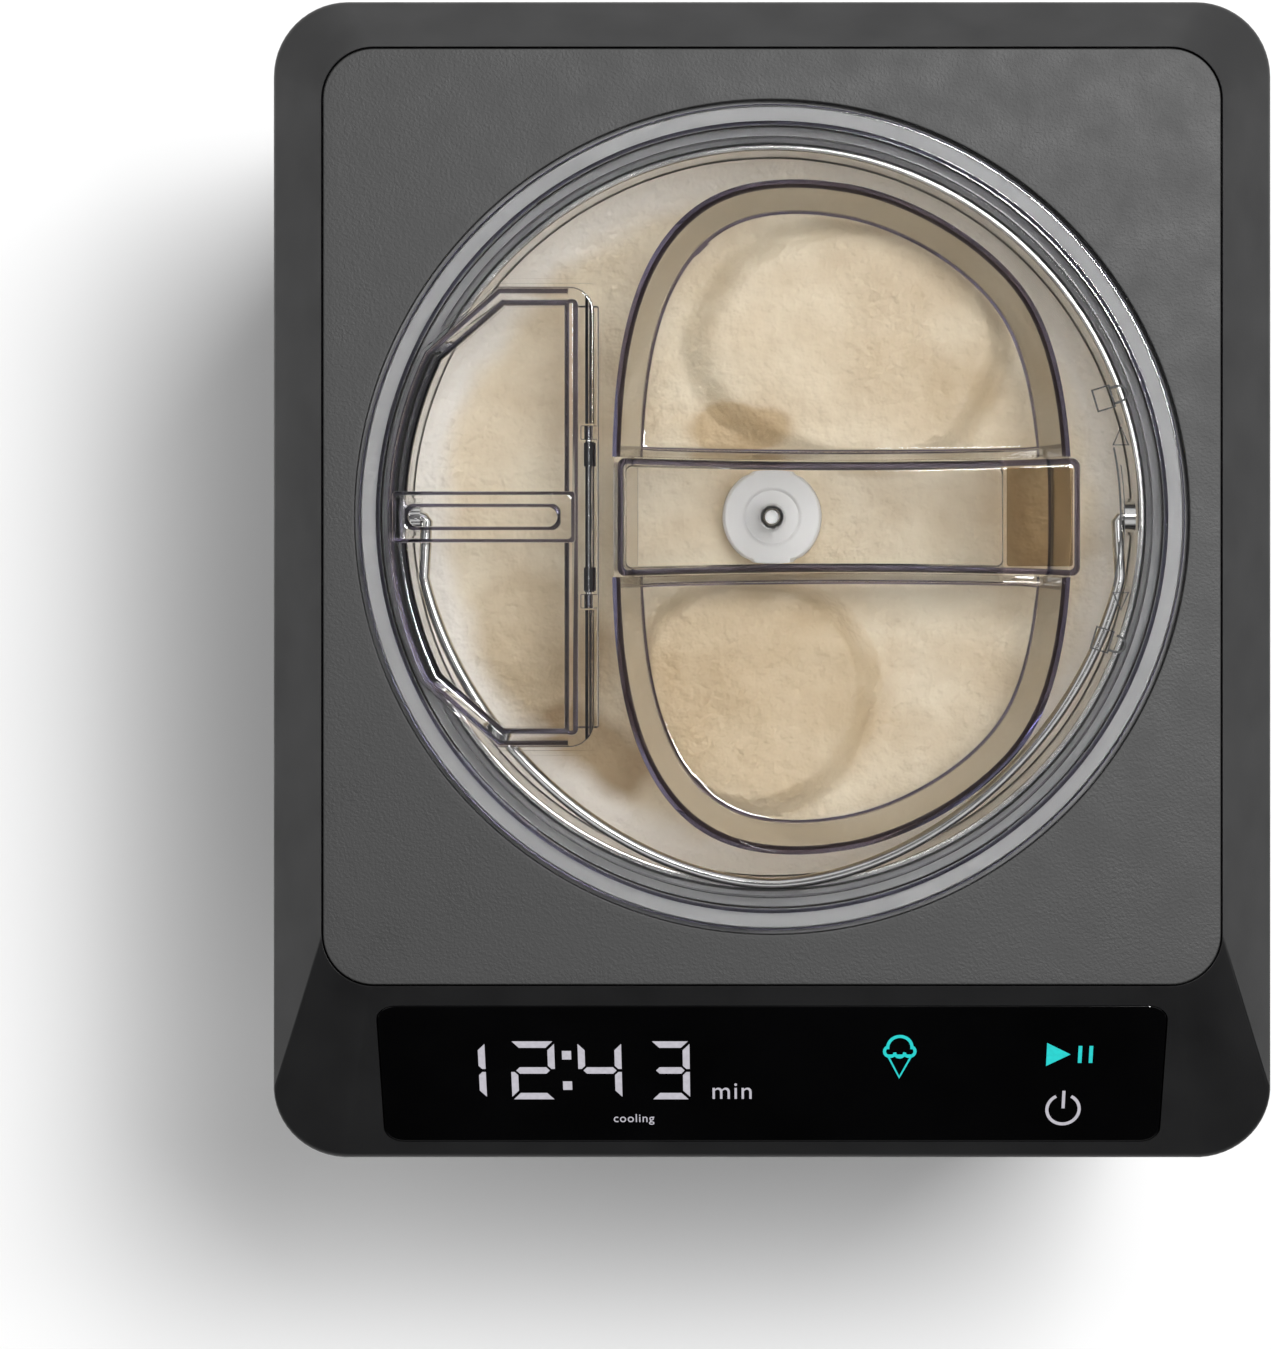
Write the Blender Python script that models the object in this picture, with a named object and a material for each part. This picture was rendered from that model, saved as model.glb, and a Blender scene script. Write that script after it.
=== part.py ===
"""Upright compressor ice cream maker with a clear twist lid, a lift-out bowl and a bottom-driven paddle.

Metres, +Z up. The origin is on the floor at the middle of the body; the display faces -Y. The bowl, the
lid and the paddle share one upright axis at (0, AXIS_Y).
"""

import math

import bmesh
import bpy
from mathutils import Matrix, Vector

# Driving dimensions of the body
BODY_X = 0.120
BODY_Y = 0.140
BODY_CORNER = 0.018
WALL = 0.0025
CASING_SHEET = 0.0012
CASING_OPENING = 0.098
GAP = 0.0003
FOOT_TOP = 0.0097
CASING_BOTTOM = 0.008
SPLIT_Z = 0.300
SIDE_EDGE_Z = 0.323
FRONT_EDGE_Z = 0.3094
DECK_Z = 0.345
DECK_THICK = 0.003
DECK_X = 0.106
DECK_FRONT = -0.0944
DECK_BACK = 0.1266
DECK_CORNER = 0.012
DECK_CLEARANCE = 0.0004

# The bowl, lid and paddle axis, and the radii from the bowl outward
AXIS_Y = 0.016
ROUND_SIDES = 48
BOWL_INNER = 0.0870
BOWL_OUTER = 0.0878
BOWL_RIM = 0.0886
TUB_INNER = 0.0894
TUB_OUTER = 0.0914
SKIRT_INNER = 0.0902
SKIRT_OUTER = 0.0928
TAB_OUTER = 0.0955
SEAL_INNER = 0.0934
SEAL_OUTER = 0.0972
LUG_INNER = 0.0933
RING_INNER = 0.0962
RING_OUTER = 0.1010
FLANGE_OUTER = 0.0976
DECK_OPENING = 0.0986

# Heights on the axis
TUB_BOTTOM = 0.208
TUB_FLANGE_Z = 0.331
BOWL_BOTTOM = 0.213
BOWL_TOP = 0.337
TUBE_TOP = 0.292
HUB_TOP = 0.318
RING_TOP = 0.3406
LID_UNDER = 0.3425
FLANGE_TOP = 0.3446
LID_TOP = 0.3455
BAR_TOP = 0.349

# The lid's finger wells: an oval, fuller at its left end, never wider than WELL_LIMIT from the lid axis
WELL_MIDDLE_X = 0.0165
WELL_HALF_X = 0.0545
WELL_HALF_Y = 0.0812
WELL_POWER_RIGHT = 2.4
WELL_POWER_LEFT = 3.0
WELL_LIMIT = 0.0812
WELL_FLOOR = 0.3225
BAR_HALF_Y = 0.0142
BAR_LEFT = -0.0366
BAR_RIGHT = 0.0727
BAR_WAIST = 0.0010
BAYONET_ANGLES = (45, 135, 225, 315)
LUG_OFFSET = -21

# The ingredient flap: a D with its straight side to the right
FLAP_RIGHT = -0.0420
FLAP_HALF_Y = 0.0544
FLAP_CORNER_X = -0.0646
FLAP_ARC = 0.0908
FLAP_ARC_ANGLE = 25.4
FLAP_BOTTOM = 0.3427
FLAP_TOP = 0.3453
HINGE_X = -0.0433
HINGE_Z = 0.3440
KNUCKLE_Y = 0.0147

# The bowl's bail handle, lying in the bowl's mouth towards the front
BAIL_X = 0.0846
BAIL_Y = 0.0870
BAIL_POWER = 1.8
BAIL_WIRE = 0.0014
BAIL_PIVOT_Z = 0.3365
BAIL_TIP_Z = 0.3388

# Drive train: three upright axes, 50:10 and 40:10 teeth
GEAR_MODULE = 0.0012
OUTPUT_TEETH = 50
IDLER_TEETH = 40
PINION_TEETH = 10
OUTPUT_XY = (0.0, AXIS_Y)
IDLER_XY = (0.0312, -0.0020)
MOTOR_XY = (0.0572, -0.0170)
MID_PLATE_Z = 0.134
SHAFT_RADIUS = 0.0055
SHAFT_SQUARE = 0.0038

# Cooling side
FAN_XZ = (0.046, 0.069)
FAN_SIZE = 0.046
CONDENSER_LOW = (-0.002, 0.084, 0.018)
CONDENSER_HIGH = (0.094, 0.104, 0.114)
COMPRESSOR_XY = (-0.046, 0.006)
COIL_RADIUS = 0.0963
COIL_TUBE = 0.0035
COIL_TURNS = 4
COIL_LOW = 0.222
COIL_HIGH = 0.318
SUCTION_XY = (-COIL_RADIUS, AXIS_Y)
CAPILLARY_XY = (-0.0764, 0.0924)


# ---------------------------------------------------------------- materials


def surface(name, colour, roughness, metallic=0.0):
    """One Principled material, made once and shared by the parts that have it."""
    made = bpy.data.materials.get(name)
    if made:
        return made
    made = bpy.data.materials.new(name)
    made.use_nodes = True
    shader = made.node_tree.nodes["Principled BSDF"]
    shader.inputs["Base Color"].default_value = (*colour, 1.0)
    shader.inputs["Roughness"].default_value = roughness
    shader.inputs["Metallic"].default_value = metallic
    made.diffuse_color = (*colour, 1.0)
    made.roughness = roughness
    made.metallic = metallic
    return made


def dark_plastic():
    return surface("dark_plastic", (0.045, 0.044, 0.046), 0.55)


def deck_plastic():
    return surface("deck_plastic", (0.072, 0.072, 0.073), 0.6)


def black_plastic():
    return surface("black_plastic", (0.012, 0.012, 0.013), 0.5)


def display_black():
    return surface("display_black", (0.002, 0.002, 0.003), 0.08)


def white_plastic():
    return surface("white_plastic", (0.72, 0.72, 0.70), 0.4)


def clear_plastic():
    return surface("clear_plastic", (0.80, 0.81, 0.82), 0.06)


def grey_rubber():
    return surface("grey_rubber", (0.35, 0.35, 0.35), 0.7)


def black_rubber():
    return surface("black_rubber", (0.015, 0.015, 0.015), 0.8)


def brushed_steel():
    return surface("brushed_steel", (0.56, 0.56, 0.55), 0.32, 1.0)


def plated_steel():
    return surface("plated_steel", (0.60, 0.60, 0.58), 0.25, 1.0)


def aluminium():
    return surface("aluminium", (0.70, 0.71, 0.72), 0.35, 1.0)


def copper():
    return surface("copper", (0.72, 0.36, 0.20), 0.3, 1.0)


def brass():
    return surface("brass", (0.75, 0.58, 0.28), 0.3, 1.0)


def black_enamel():
    return surface("black_enamel", (0.01, 0.01, 0.011), 0.3)


def foam():
    return surface("foam", (0.74, 0.66, 0.45), 0.9)


def circuit_board():
    return surface("circuit_board", (0.02, 0.16, 0.06), 0.5)


# ---------------------------------------------------------------- shapes


def flat_loop(outline, height):
    return [Vector((x, y, height)) for x, y in outline]


def circle(radius, sides=ROUND_SIDES, centre=(0.0, 0.0)):
    turn = math.tau / sides
    return [(centre[0] + radius * math.cos(turn * i), centre[1] + radius * math.sin(turn * i))
            for i in range(sides)]


def rounded_rectangle(low, high, radius, steps=6):
    """Outline of a rectangle with round corners, anticlockwise from the front right corner's start."""
    middles = ((high[0] - radius, low[1] + radius), (high[0] - radius, high[1] - radius),
               (low[0] + radius, high[1] - radius), (low[0] + radius, low[1] + radius))
    outline = []
    for corner, (x, y) in enumerate(middles):
        for step in range(steps + 1):
            angle = math.pi / 2 * (corner - 1 + step / steps)
            outline.append((x + radius * math.cos(angle), y + radius * math.sin(angle)))
    return outline


def add_box(bm, low, high):
    middle = (Vector(low) + Vector(high)) / 2
    size = Vector(high) - Vector(low)
    bmesh.ops.create_cube(bm, size=1.0, matrix=Matrix.Translation(middle) @ Matrix.Diagonal((*size, 1.0)))


def boxes(pairs):
    bm = bmesh.new()
    for low, high in pairs:
        add_box(bm, low, high)
    return bm


def loft(loops, ring=False):
    """Skin through loops of equal length. A ring joins the last loop to the first; otherwise both ends
    are capped."""
    bm = bmesh.new()
    rows = [[bm.verts.new(point) for point in loop] for loop in loops]
    count = len(loops[0])
    pairs = list(zip(rows, rows[1:]))
    if ring:
        pairs.append((rows[-1], rows[0]))
    for lower, upper in pairs:
        for i in range(count):
            after = (i + 1) % count
            bm.faces.new((lower[i], lower[after], upper[after], upper[i]))
    if not ring:
        bm.faces.new(list(reversed(rows[0])))
        bm.faces.new(rows[-1])
    bmesh.ops.recalc_face_normals(bm, faces=bm.faces)
    return bm


def prism(outline, low, high):
    return loft([flat_loop(outline, low), flat_loop(outline, high)])


def turned(profile, sides=ROUND_SIDES, centre=OUTPUT_XY, ring=True):
    """A profile of (radius, height) turned about an upright axis: a closed ring, or a solid with caps."""
    return loft([flat_loop(circle(r, sides, centre), z) for r, z in profile], ring)


def plate(outline, holes, low, high):
    """A flat plate with holes through it, between two heights."""
    bm = bmesh.new()
    edges = []
    for path in (outline, *holes):
        points = [bm.verts.new((x, y, low)) for x, y in path]
        edges += [bm.edges.new((points[i - 1], points[i])) for i in range(len(points))]
    made = bmesh.ops.triangle_fill(bm, use_beauty=True, use_dissolve=False, edges=edges)
    faces = [item for item in made["geom"] if isinstance(item, bmesh.types.BMFace)]
    raised = bmesh.ops.extrude_face_region(bm, geom=faces, use_keep_orig=True)
    points = [item for item in raised["geom"] if isinstance(item, bmesh.types.BMVert)]
    bmesh.ops.translate(bm, vec=(0, 0, high - low), verts=points)
    bmesh.ops.recalc_face_normals(bm, faces=bm.faces)
    return bm


def sweep(points, radius, sides=6):
    """A round tube along points, with flat ends, whose sides keep turning as little as they can."""
    path = [Vector(p) for p in points]
    count = len(path)
    loops = []
    side = None
    for i in range(count):
        forward = (path[min(i + 1, count - 1)] - path[max(i - 1, 0)]).normalized()
        if side is None:
            other = Vector((0, 0, 1)) if abs(forward.z) < 0.9 else Vector((1, 0, 0))
            side = forward.cross(other)
        side = (side - forward * side.dot(forward)).normalized()
        up = forward.cross(side)
        loops.append([path[i] + radius * (side * math.cos(math.tau * k / sides)
                                          + up * math.sin(math.tau * k / sides)) for k in range(sides)])
    return loft(loops)


def smooth_path(points, pieces=4):
    """Catmull-Rom curve through the points, for pipes with soft bends."""
    path = [Vector(p) for p in points]
    ends = [path[0] * 2 - path[1], *path, path[-1] * 2 - path[-2]]
    curve = []
    for a, b, c, d in zip(ends, ends[1:], ends[2:], ends[3:]):
        for step in range(pieces):
            t = step / pieces
            curve.append(0.5 * (2 * b + (c - a) * t + (2 * a - 5 * b + 4 * c - d) * t * t
                                + (3 * b - a - 3 * c + d) * t ** 3))
    return [*curve, path[-1]]


def turn_to_y(bm, middle):
    """Lays a shape built about +Z down so that its axis points along +Y through middle."""
    bmesh.ops.transform(bm, matrix=Matrix.Translation(middle) @ Matrix.Rotation(-math.pi / 2, 4, "X"),
                        verts=bm.verts)
    return bm


def moved(bm, matrix):
    bmesh.ops.transform(bm, matrix=matrix, verts=bm.verts)
    return bm


def gear_outline(teeth, centre, phase=0.0):
    """Straight-flanked teeth, four points each, thinned a little for backlash."""
    pitch = GEAR_MODULE * teeth / 2
    tip = pitch + 0.85 * GEAR_MODULE
    root = pitch - 1.15 * GEAR_MODULE
    turn = math.tau / teeth
    outline = []
    for tooth in range(teeth):
        for radius, share in ((root, -0.30), (tip, -0.11), (tip, 0.11), (root, 0.30)):
            angle = turn * (tooth + share) + phase
            outline.append((centre[0] + radius * math.cos(angle), centre[1] + radius * math.sin(angle)))
    return outline


def mesh_of(bm, name):
    mesh = bpy.data.meshes.new(name)
    bm.to_mesh(mesh)
    bm.free()
    return mesh


def joined(bm, *steps):
    """Applies Boolean steps, each ("UNION" or "DIFFERENCE", bmesh), and gives the resulting bmesh."""
    body = bpy.data.objects.new("work", mesh_of(bm, "work"))
    bpy.context.scene.collection.objects.link(body)
    for operation, other in steps:
        tool = bpy.data.objects.new("tool", mesh_of(other, "tool"))
        bpy.context.scene.collection.objects.link(tool)
        change = body.modifiers.new("change", "BOOLEAN")
        change.operation = operation
        change.object = tool
        graph = bpy.context.evaluated_depsgraph_get()
        result = bpy.data.meshes.new_from_object(body.evaluated_get(graph))
        body.modifiers.remove(change)
        old = body.data
        body.data = result
        bpy.data.meshes.remove(old)
        bpy.data.meshes.remove(tool.data)
    done = bmesh.new()
    done.from_mesh(body.data)
    bpy.data.meshes.remove(body.data)
    bmesh.ops.remove_doubles(done, verts=done.verts, dist=1e-6)
    bmesh.ops.dissolve_degenerate(done, edges=done.edges, dist=1e-6)
    return done


def add_part(name, bm, material, origin=(0.0, 0.0, 0.0), smooth=True):
    """Makes the named object, with its own origin where it turns or lifts."""
    bmesh.ops.transform(bm, matrix=Matrix.Translation(-Vector(origin)), verts=bm.verts)
    bmesh.ops.triangulate(bm, faces=[face for face in bm.faces if len(face.verts) > 4])
    mesh = mesh_of(bm, name)
    if smooth:
        mesh.shade_smooth()
        mesh.set_sharp_from_angle(angle=math.radians(35))
    mesh.materials.append(material)
    part = bpy.data.objects.new(name, mesh)
    bpy.context.scene.collection.objects.link(part)
    part.location = origin
    return part


# ---------------------------------------------------------------- base and casing


def make_base():
    low, high = (-0.1165, -0.1365), (0.1165, 0.1340)
    outline = rounded_rectangle(low, high, 0.015)
    slots = [rounded_rectangle((x, 0.060), (x + 0.004, 0.080), 0.0015, 1) for x in
             (0.006 + 0.012 * i for i in range(8))]
    tray = plate(outline, slots, 0.010, 0.013)
    rim_outer = rounded_rectangle(low, high, 0.015)
    rim_inner = rounded_rectangle((low[0] + WALL, low[1] + WALL), (high[0] - WALL, high[1] - WALL), 0.0125)
    rim = loft([flat_loop(rim_outer, 0.0125), flat_loop(rim_outer, 0.0215), flat_loop(rim_inner, 0.0215),
                flat_loop(rim_inner, 0.0125)], ring=True)
    add_part("base_tray", joined(tray, ("UNION", rim)), dark_plastic())


def make_feet():
    for depth, y in (("front", -0.112), ("rear", 0.112)):
        for side, x in (("left", -0.094), ("right", 0.094)):
            profile = [(0.0085, 0.0), (0.0095, 0.0012), (0.0105, FOOT_TOP)]
            add_part(f"foot_{depth}_{side}", turned(profile, 16, (x, y), ring=False), black_rubber())


def make_pillars():
    for depth, y in (("front", -0.118), ("rear", 0.120)):
        for side, x in (("left", -0.104), ("right", 0.104)):
            profile = [(0.0055, 0.0133), (0.0040, 0.0300), (0.0040, MID_PLATE_Z - GAP)]
            add_part(f"pillar_{depth}_{side}", turned(profile, 10, (x, y), ring=False), black_plastic())


def make_lower_casing():
    """A wrap of sheet steel, open at the back, with air slots low on both sides."""
    sheet = CASING_SHEET
    outer = rounded_rectangle((-BODY_X, -BODY_Y), (BODY_X, BODY_Y), BODY_CORNER)
    inner = rounded_rectangle((sheet - BODY_X, sheet - BODY_Y), (BODY_X - sheet, BODY_Y - sheet),
                              BODY_CORNER - sheet)
    half = len(outer) // 2
    outer_path = [(-CASING_OPENING, BODY_Y), *outer[half:], *outer[:half], (CASING_OPENING, BODY_Y)]
    inner_path = [(-CASING_OPENING, BODY_Y - sheet), *inner[half:], *inner[:half],
                  (CASING_OPENING, BODY_Y - sheet)]
    wrap = prism(outer_path + inner_path[::-1], CASING_BOTTOM, SPLIT_Z - GAP)
    slots = boxes([((-0.13, 0.034, z), (0.13, 0.112, z + 0.0035)) for z in
                   (0.036 + 0.010 * i for i in range(8))])
    add_part("lower_casing", joined(wrap, ("DIFFERENCE", slots)), black_enamel())


def upright_plate(outline, holes, y_low, y_high):
    """A plate drawn in X and Z, with its thickness along Y."""
    bm = plate([(x, -z) for x, z in outline], [[(x, -z) for x, z in hole] for hole in holes], y_low, y_high)
    return turn_to_y(bm, (0, 0, 0))


SCREW_PLACES = [(x, z) for x in (-0.090, 0.090) for z in (0.026, 0.288)]
INLET_XZ = (-0.066, 0.052)


def make_rear_cover():
    low, high = (-0.0977, 0.0140), (0.0977, 0.2994)
    slots = [rounded_rectangle((FAN_XZ[0] - 0.038, z), (FAN_XZ[0] + 0.038, z + 0.0035), 0.001, 1) for z in
             (0.032 + 0.009 * i for i in range(8))]
    upper = [rounded_rectangle((-0.050, z), (0.050, z + 0.0035), 0.001, 1) for z in
             (0.226 + 0.009 * i for i in range(5))]
    inlet = rounded_rectangle((INLET_XZ[0] - 0.0146, INLET_XZ[1] - 0.0106),
                              (INLET_XZ[0] + 0.0146, INLET_XZ[1] + 0.0106), 0.0003, 1)
    screws = [circle(0.0022, 8, place) for place in SCREW_PLACES]
    outline = rounded_rectangle(low, high, 0.003, 2)
    bm = upright_plate(outline, [*slots, *upper, inlet, *screws], 0.1355, 0.1380)
    add_part("rear_cover", bm, dark_plastic())
    for number, (x, z) in enumerate(SCREW_PLACES, 1):
        profile = [(0.0016, -0.0034), (0.0016, 0.0003), (0.0038, 0.0003), (0.0034, 0.0018)]
        screw = turn_to_y(turned(profile, 10, (0, 0), ring=False), (x, 0.1380, z))
        add_part(f"rear_cover_screw_{number}", screw, plated_steel())


def edge_heights(outline, side_z, front_z):
    """The collar's lower edge: level at the sides and back, and falling round the front corners."""
    turn = BODY_CORNER
    edge = -BODY_Y + turn
    points = []
    for x, y in outline:
        fall = 0.0
        if y < edge:
            fall = math.atan2(edge - y, max(abs(x) - BODY_X + turn, 1e-9)) / (math.pi / 2)
        points.append(Vector((x, y, side_z + (front_z - side_z) * min(fall, 1.0))))
    return points


def slope_frame():
    """Middle, along-slope and outward directions of the front slope, from the deck edge down."""
    top = Vector((0, DECK_FRONT - DECK_CLEARANCE, DECK_Z))
    foot = Vector((0, -BODY_Y, FRONT_EDGE_Z))
    down = (foot - top).normalized()
    outward = Vector((0, down.z, -down.y)).normalized()
    return top, down, outward


def slope_slab(half_x, down_low, down_high, out_low, out_high, radius):
    """A slab on the front slope, placed by how far down and how far out it lies."""
    top, down, outward = slope_frame()
    outline = rounded_rectangle((-half_x, -down_high), (half_x, -down_low), radius, 3)
    loops = [[top + Vector((x, 0, 0)) - down * y + outward * out for x, y in outline]
             for out in (out_low, out_high)]
    return loft(loops)


GLASS_HALF_X = 0.0937
GLASS_DOWN = (0.0066, 0.0517)


def make_upper_housing():
    """The sloped collar: its outside falls from the deck to the body's edge, with a ledge for the deck."""
    body = rounded_rectangle((-BODY_X, -BODY_Y), (BODY_X, BODY_Y), BODY_CORNER)
    inside = rounded_rectangle((WALL - BODY_X, WALL - BODY_Y), (BODY_X - WALL, BODY_Y - WALL),
                               BODY_CORNER - WALL)

    def deck_outline(outset, front):
        low, high = (-DECK_X - outset, DECK_FRONT - front), (DECK_X + outset, DECK_BACK + outset)
        return rounded_rectangle(low, high, DECK_CORNER + outset)

    seat = deck_outline(DECK_CLEARANCE, DECK_CLEARANCE)
    ledge = deck_outline(-0.0046, -0.0046)
    under = deck_outline(0.0010, 0.0037)
    ledge_z = DECK_Z - DECK_THICK - GAP
    inner_top = [Vector((x, y, p.z)) for (x, y), p in
                 zip(inside, edge_heights(body, SIDE_EDGE_Z - 0.0007, FRONT_EDGE_Z - 0.0012))]
    loops = [flat_loop(body, SPLIT_Z + GAP), edge_heights(body, SIDE_EDGE_Z, FRONT_EDGE_Z),
             flat_loop(seat, DECK_Z), flat_loop(seat, ledge_z), flat_loop(ledge, ledge_z),
             flat_loop(ledge, ledge_z - WALL), flat_loop(under, ledge_z - WALL), inner_top,
             flat_loop(inside, SPLIT_Z + GAP)]
    window = slope_slab(GLASS_HALF_X + GAP, GLASS_DOWN[0] - GAP, GLASS_DOWN[1] + GAP, -0.012, 0.010, 0.0048)
    add_part("upper_housing", joined(loft(loops, ring=True), ("DIFFERENCE", window)), dark_plastic())


def make_display():
    down_low, down_high = GLASS_DOWN
    add_part("display_glass", slope_slab(GLASS_HALF_X, down_low, down_high, -0.0022, 0.0, 0.0045),
             display_black())
    add_part("digit_module", slope_slab(0.072, down_low + 0.006, down_high - 0.0071, -0.0050, -0.0025, 0.001),
             black_plastic())
    add_part("display_board", slope_slab(0.088, down_low + 0.003, down_high - 0.0041, -0.0069, -0.0053, 0.001),
             circuit_board())


def make_top_deck():
    outline = rounded_rectangle((-DECK_X, DECK_FRONT), (DECK_X, DECK_BACK), DECK_CORNER)
    opening = circle(DECK_OPENING, ROUND_SIDES, OUTPUT_XY)
    add_part("top_deck", plate(outline, [opening], DECK_Z - DECK_THICK, DECK_Z), deck_plastic())


# ---------------------------------------------------------------- tub, coil and foam


def sector(inner, outer, low, high, middle, half_angle, steps=3):
    """A block of a ring about the main axis, between two radii and two heights."""
    angles = [math.radians(middle - half_angle + 2 * half_angle * i / steps) for i in range(steps + 1)]
    outline = [(outer * math.cos(a), AXIS_Y + outer * math.sin(a)) for a in angles]
    outline += [(inner * math.cos(a), AXIS_Y + inner * math.sin(a)) for a in reversed(angles)]
    return prism(outline, low, high)


def make_tub_ring():
    profile = [(RING_OUTER, TUB_FLANGE_Z + GAP), (RING_OUTER, RING_TOP), (RING_INNER, RING_TOP),
               (RING_INNER, TUB_FLANGE_Z + GAP)]
    lugs = [("UNION", sector(LUG_INNER, RING_INNER + 0.001, 0.3378, RING_TOP - 0.0001, angle + LUG_OFFSET, 9))
            for angle in BAYONET_ANGLES]
    add_part("tub_ring", joined(turned(profile), *lugs), dark_plastic())


def make_tub():
    profile = [(0.0072, TUB_BOTTOM), (TUB_OUTER, TUB_BOTTOM), (TUB_OUTER, TUB_FLANGE_Z - 0.002),
               (0.1008, TUB_FLANGE_Z - 0.002), (0.1008, TUB_FLANGE_Z), (TUB_INNER, TUB_FLANGE_Z),
               (TUB_INNER, TUB_BOTTOM + 0.002), (0.0072, TUB_BOTTOM + 0.002)]
    add_part("tub", turned(profile), aluminium())
    gasket = [(0.0926, TUB_FLANGE_Z + GAP), (0.0926, 0.3330), (0.0891, 0.3330), (0.0891, TUB_FLANGE_Z + GAP)]
    add_part("tub_gasket", turned(gasket), grey_rubber())


def make_coil():
    count = 24 * COIL_TURNS
    start = math.pi
    points = []
    for i in range(count + 1):
        share = i / count
        angle = start + math.tau * COIL_TURNS * share - math.radians(45) * share
        height = COIL_LOW + (COIL_HIGH - COIL_LOW) * share
        points.append((COIL_RADIUS * math.cos(angle), AXIS_Y + COIL_RADIUS * math.sin(angle), height))
    add_part("evaporator_coil", sweep(points, COIL_TUBE, 6), copper())


def make_foam():
    """Insulation round the tub, with a groove at the back left for the capillary."""
    outline = rounded_rectangle((-0.116, -0.104), (0.116, 0.134), 0.015)
    groove = math.radians(135)
    hole = []
    for x, y in circle(1.0):
        angle = math.atan2(y, x)
        radius = 0.1180 if abs(angle - groove) < 0.01 else 0.1005
        hole.append((radius * x, AXIS_Y + radius * y))
    add_part("insulation_foam", plate(outline, [hole], 0.184, 0.316), foam())


# ---------------------------------------------------------------- drive


def make_mid_plate():
    holes = [circle(0.005, 10, MOTOR_XY), circle(0.0055, 10, SUCTION_XY), circle(0.0040, 8, CAPILLARY_XY),
             rounded_rectangle((-0.020, -0.100), (0.020, -0.086), 0.004, 2)]
    outline = rounded_rectangle((-0.116, -0.136), (0.116, 0.134), 0.015)
    add_part("mid_plate", plate(outline, holes, MID_PLATE_Z, MID_PLATE_Z + WALL), dark_plastic())


GEARBOX_CIRCLES = ((OUTPUT_XY, 0.0350), (IDLER_XY, 0.0290), (MOTOR_XY, 0.0130))
GEARBOX_LOW = MID_PLATE_Z + WALL + GAP
GEARBOX_TOP = 0.1720


def belt_outline(outset):
    """The gearbox outline, walked round its middle by direction so that every offset has equal points."""
    middle = Vector((0.026, 0.001))
    outline = []
    for i in range(40):
        angle = math.tau * i / 40
        reach = Vector((math.cos(angle), math.sin(angle)))
        far = 0.0
        for (x, y), radius in GEARBOX_CIRCLES:
            away = Vector((x, y)) - middle
            across = away.dot(Vector((-reach.y, reach.x)))
            room = (radius + outset) ** 2 - across ** 2
            if room > 0:
                far = max(far, away.dot(reach) + math.sqrt(room))
        outline.append(tuple(middle + reach * far))
    return outline


def make_gearbox():
    outer, inner = belt_outline(0.0025), belt_outline(0.0)
    walls = loft([flat_loop(outer, GEARBOX_LOW), flat_loop(outer, GEARBOX_TOP), flat_loop(inner, GEARBOX_TOP),
                  flat_loop(inner, GEARBOX_LOW)], ring=True)
    floor = plate(belt_outline(0.0010), [circle(0.005, 10, MOTOR_XY)], GEARBOX_LOW + 0.0001,
                  GEARBOX_LOW + 0.0025)
    socket = turned([(0.0085, GEARBOX_LOW + 0.001), (0.0085, 0.1460), (0.0060, 0.1460),
                     (0.0060, GEARBOX_LOW + 0.0012)], 16)
    add_part("gearbox_base", joined(walls, ("UNION", floor), ("UNION", socket)), black_plastic())
    cover_holes = [circle(0.0094, 16, OUTPUT_XY)]
    add_part("gearbox_cover", plate(outer, cover_holes, GEARBOX_TOP + GAP, GEARBOX_TOP + 0.0030),
             black_plastic())
    axle = [(0.0025, GEARBOX_LOW + 0.0028), (0.0025, GEARBOX_TOP - 0.0005)]
    add_part("idler_axle", turned(axle, 12, IDLER_XY, ring=False), plated_steel())


def make_gears():
    mesh_angle = math.atan2(IDLER_XY[1] - OUTPUT_XY[1], IDLER_XY[0] - OUTPUT_XY[0])
    next_angle = math.atan2(MOTOR_XY[1] - IDLER_XY[1], MOTOR_XY[0] - IDLER_XY[0])
    output = prism(gear_outline(OUTPUT_TEETH, OUTPUT_XY, mesh_angle), 0.160, 0.168)
    bore = turned([(SHAFT_RADIUS + GAP, 0.158), (SHAFT_RADIUS + GAP, 0.170)], 24, ring=False)
    add_part("output_gear", joined(output, ("DIFFERENCE", bore)), white_plastic(), (*OUTPUT_XY, 0.164))

    half_tooth = math.pi / PINION_TEETH
    wheel = prism(gear_outline(IDLER_TEETH, IDLER_XY, next_angle), 0.148, 0.156)
    pinion = prism(gear_outline(PINION_TEETH, IDLER_XY, mesh_angle + math.pi + half_tooth), 0.155, 0.169)
    hole = turned([(0.0028, 0.146), (0.0028, 0.171)], 12, IDLER_XY, ring=False)
    add_part("idler_gear", joined(wheel, ("UNION", pinion), ("DIFFERENCE", hole)), white_plastic(),
             (*IDLER_XY, 0.158))

    motor = prism(gear_outline(PINION_TEETH, MOTOR_XY, next_angle + math.pi + half_tooth), 0.147, 0.157)
    stub = turned([(0.0025, 0.124), (0.0025, 0.150)], 12, MOTOR_XY, ring=False)
    add_part("motor_pinion", joined(motor, ("UNION", stub)), brass(), (*MOTOR_XY, 0.152))


def make_motor():
    profile = [(0.012, 0.072), (0.012, 0.075), (0.028, 0.076), (0.028, MID_PLATE_Z - 0.003),
               (0.026, MID_PLATE_Z - GAP), (0.0030, MID_PLATE_Z - GAP), (0.0030, 0.122)]
    add_part("drive_motor", turned(profile, 24, MOTOR_XY, ring=False), plated_steel())


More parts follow.
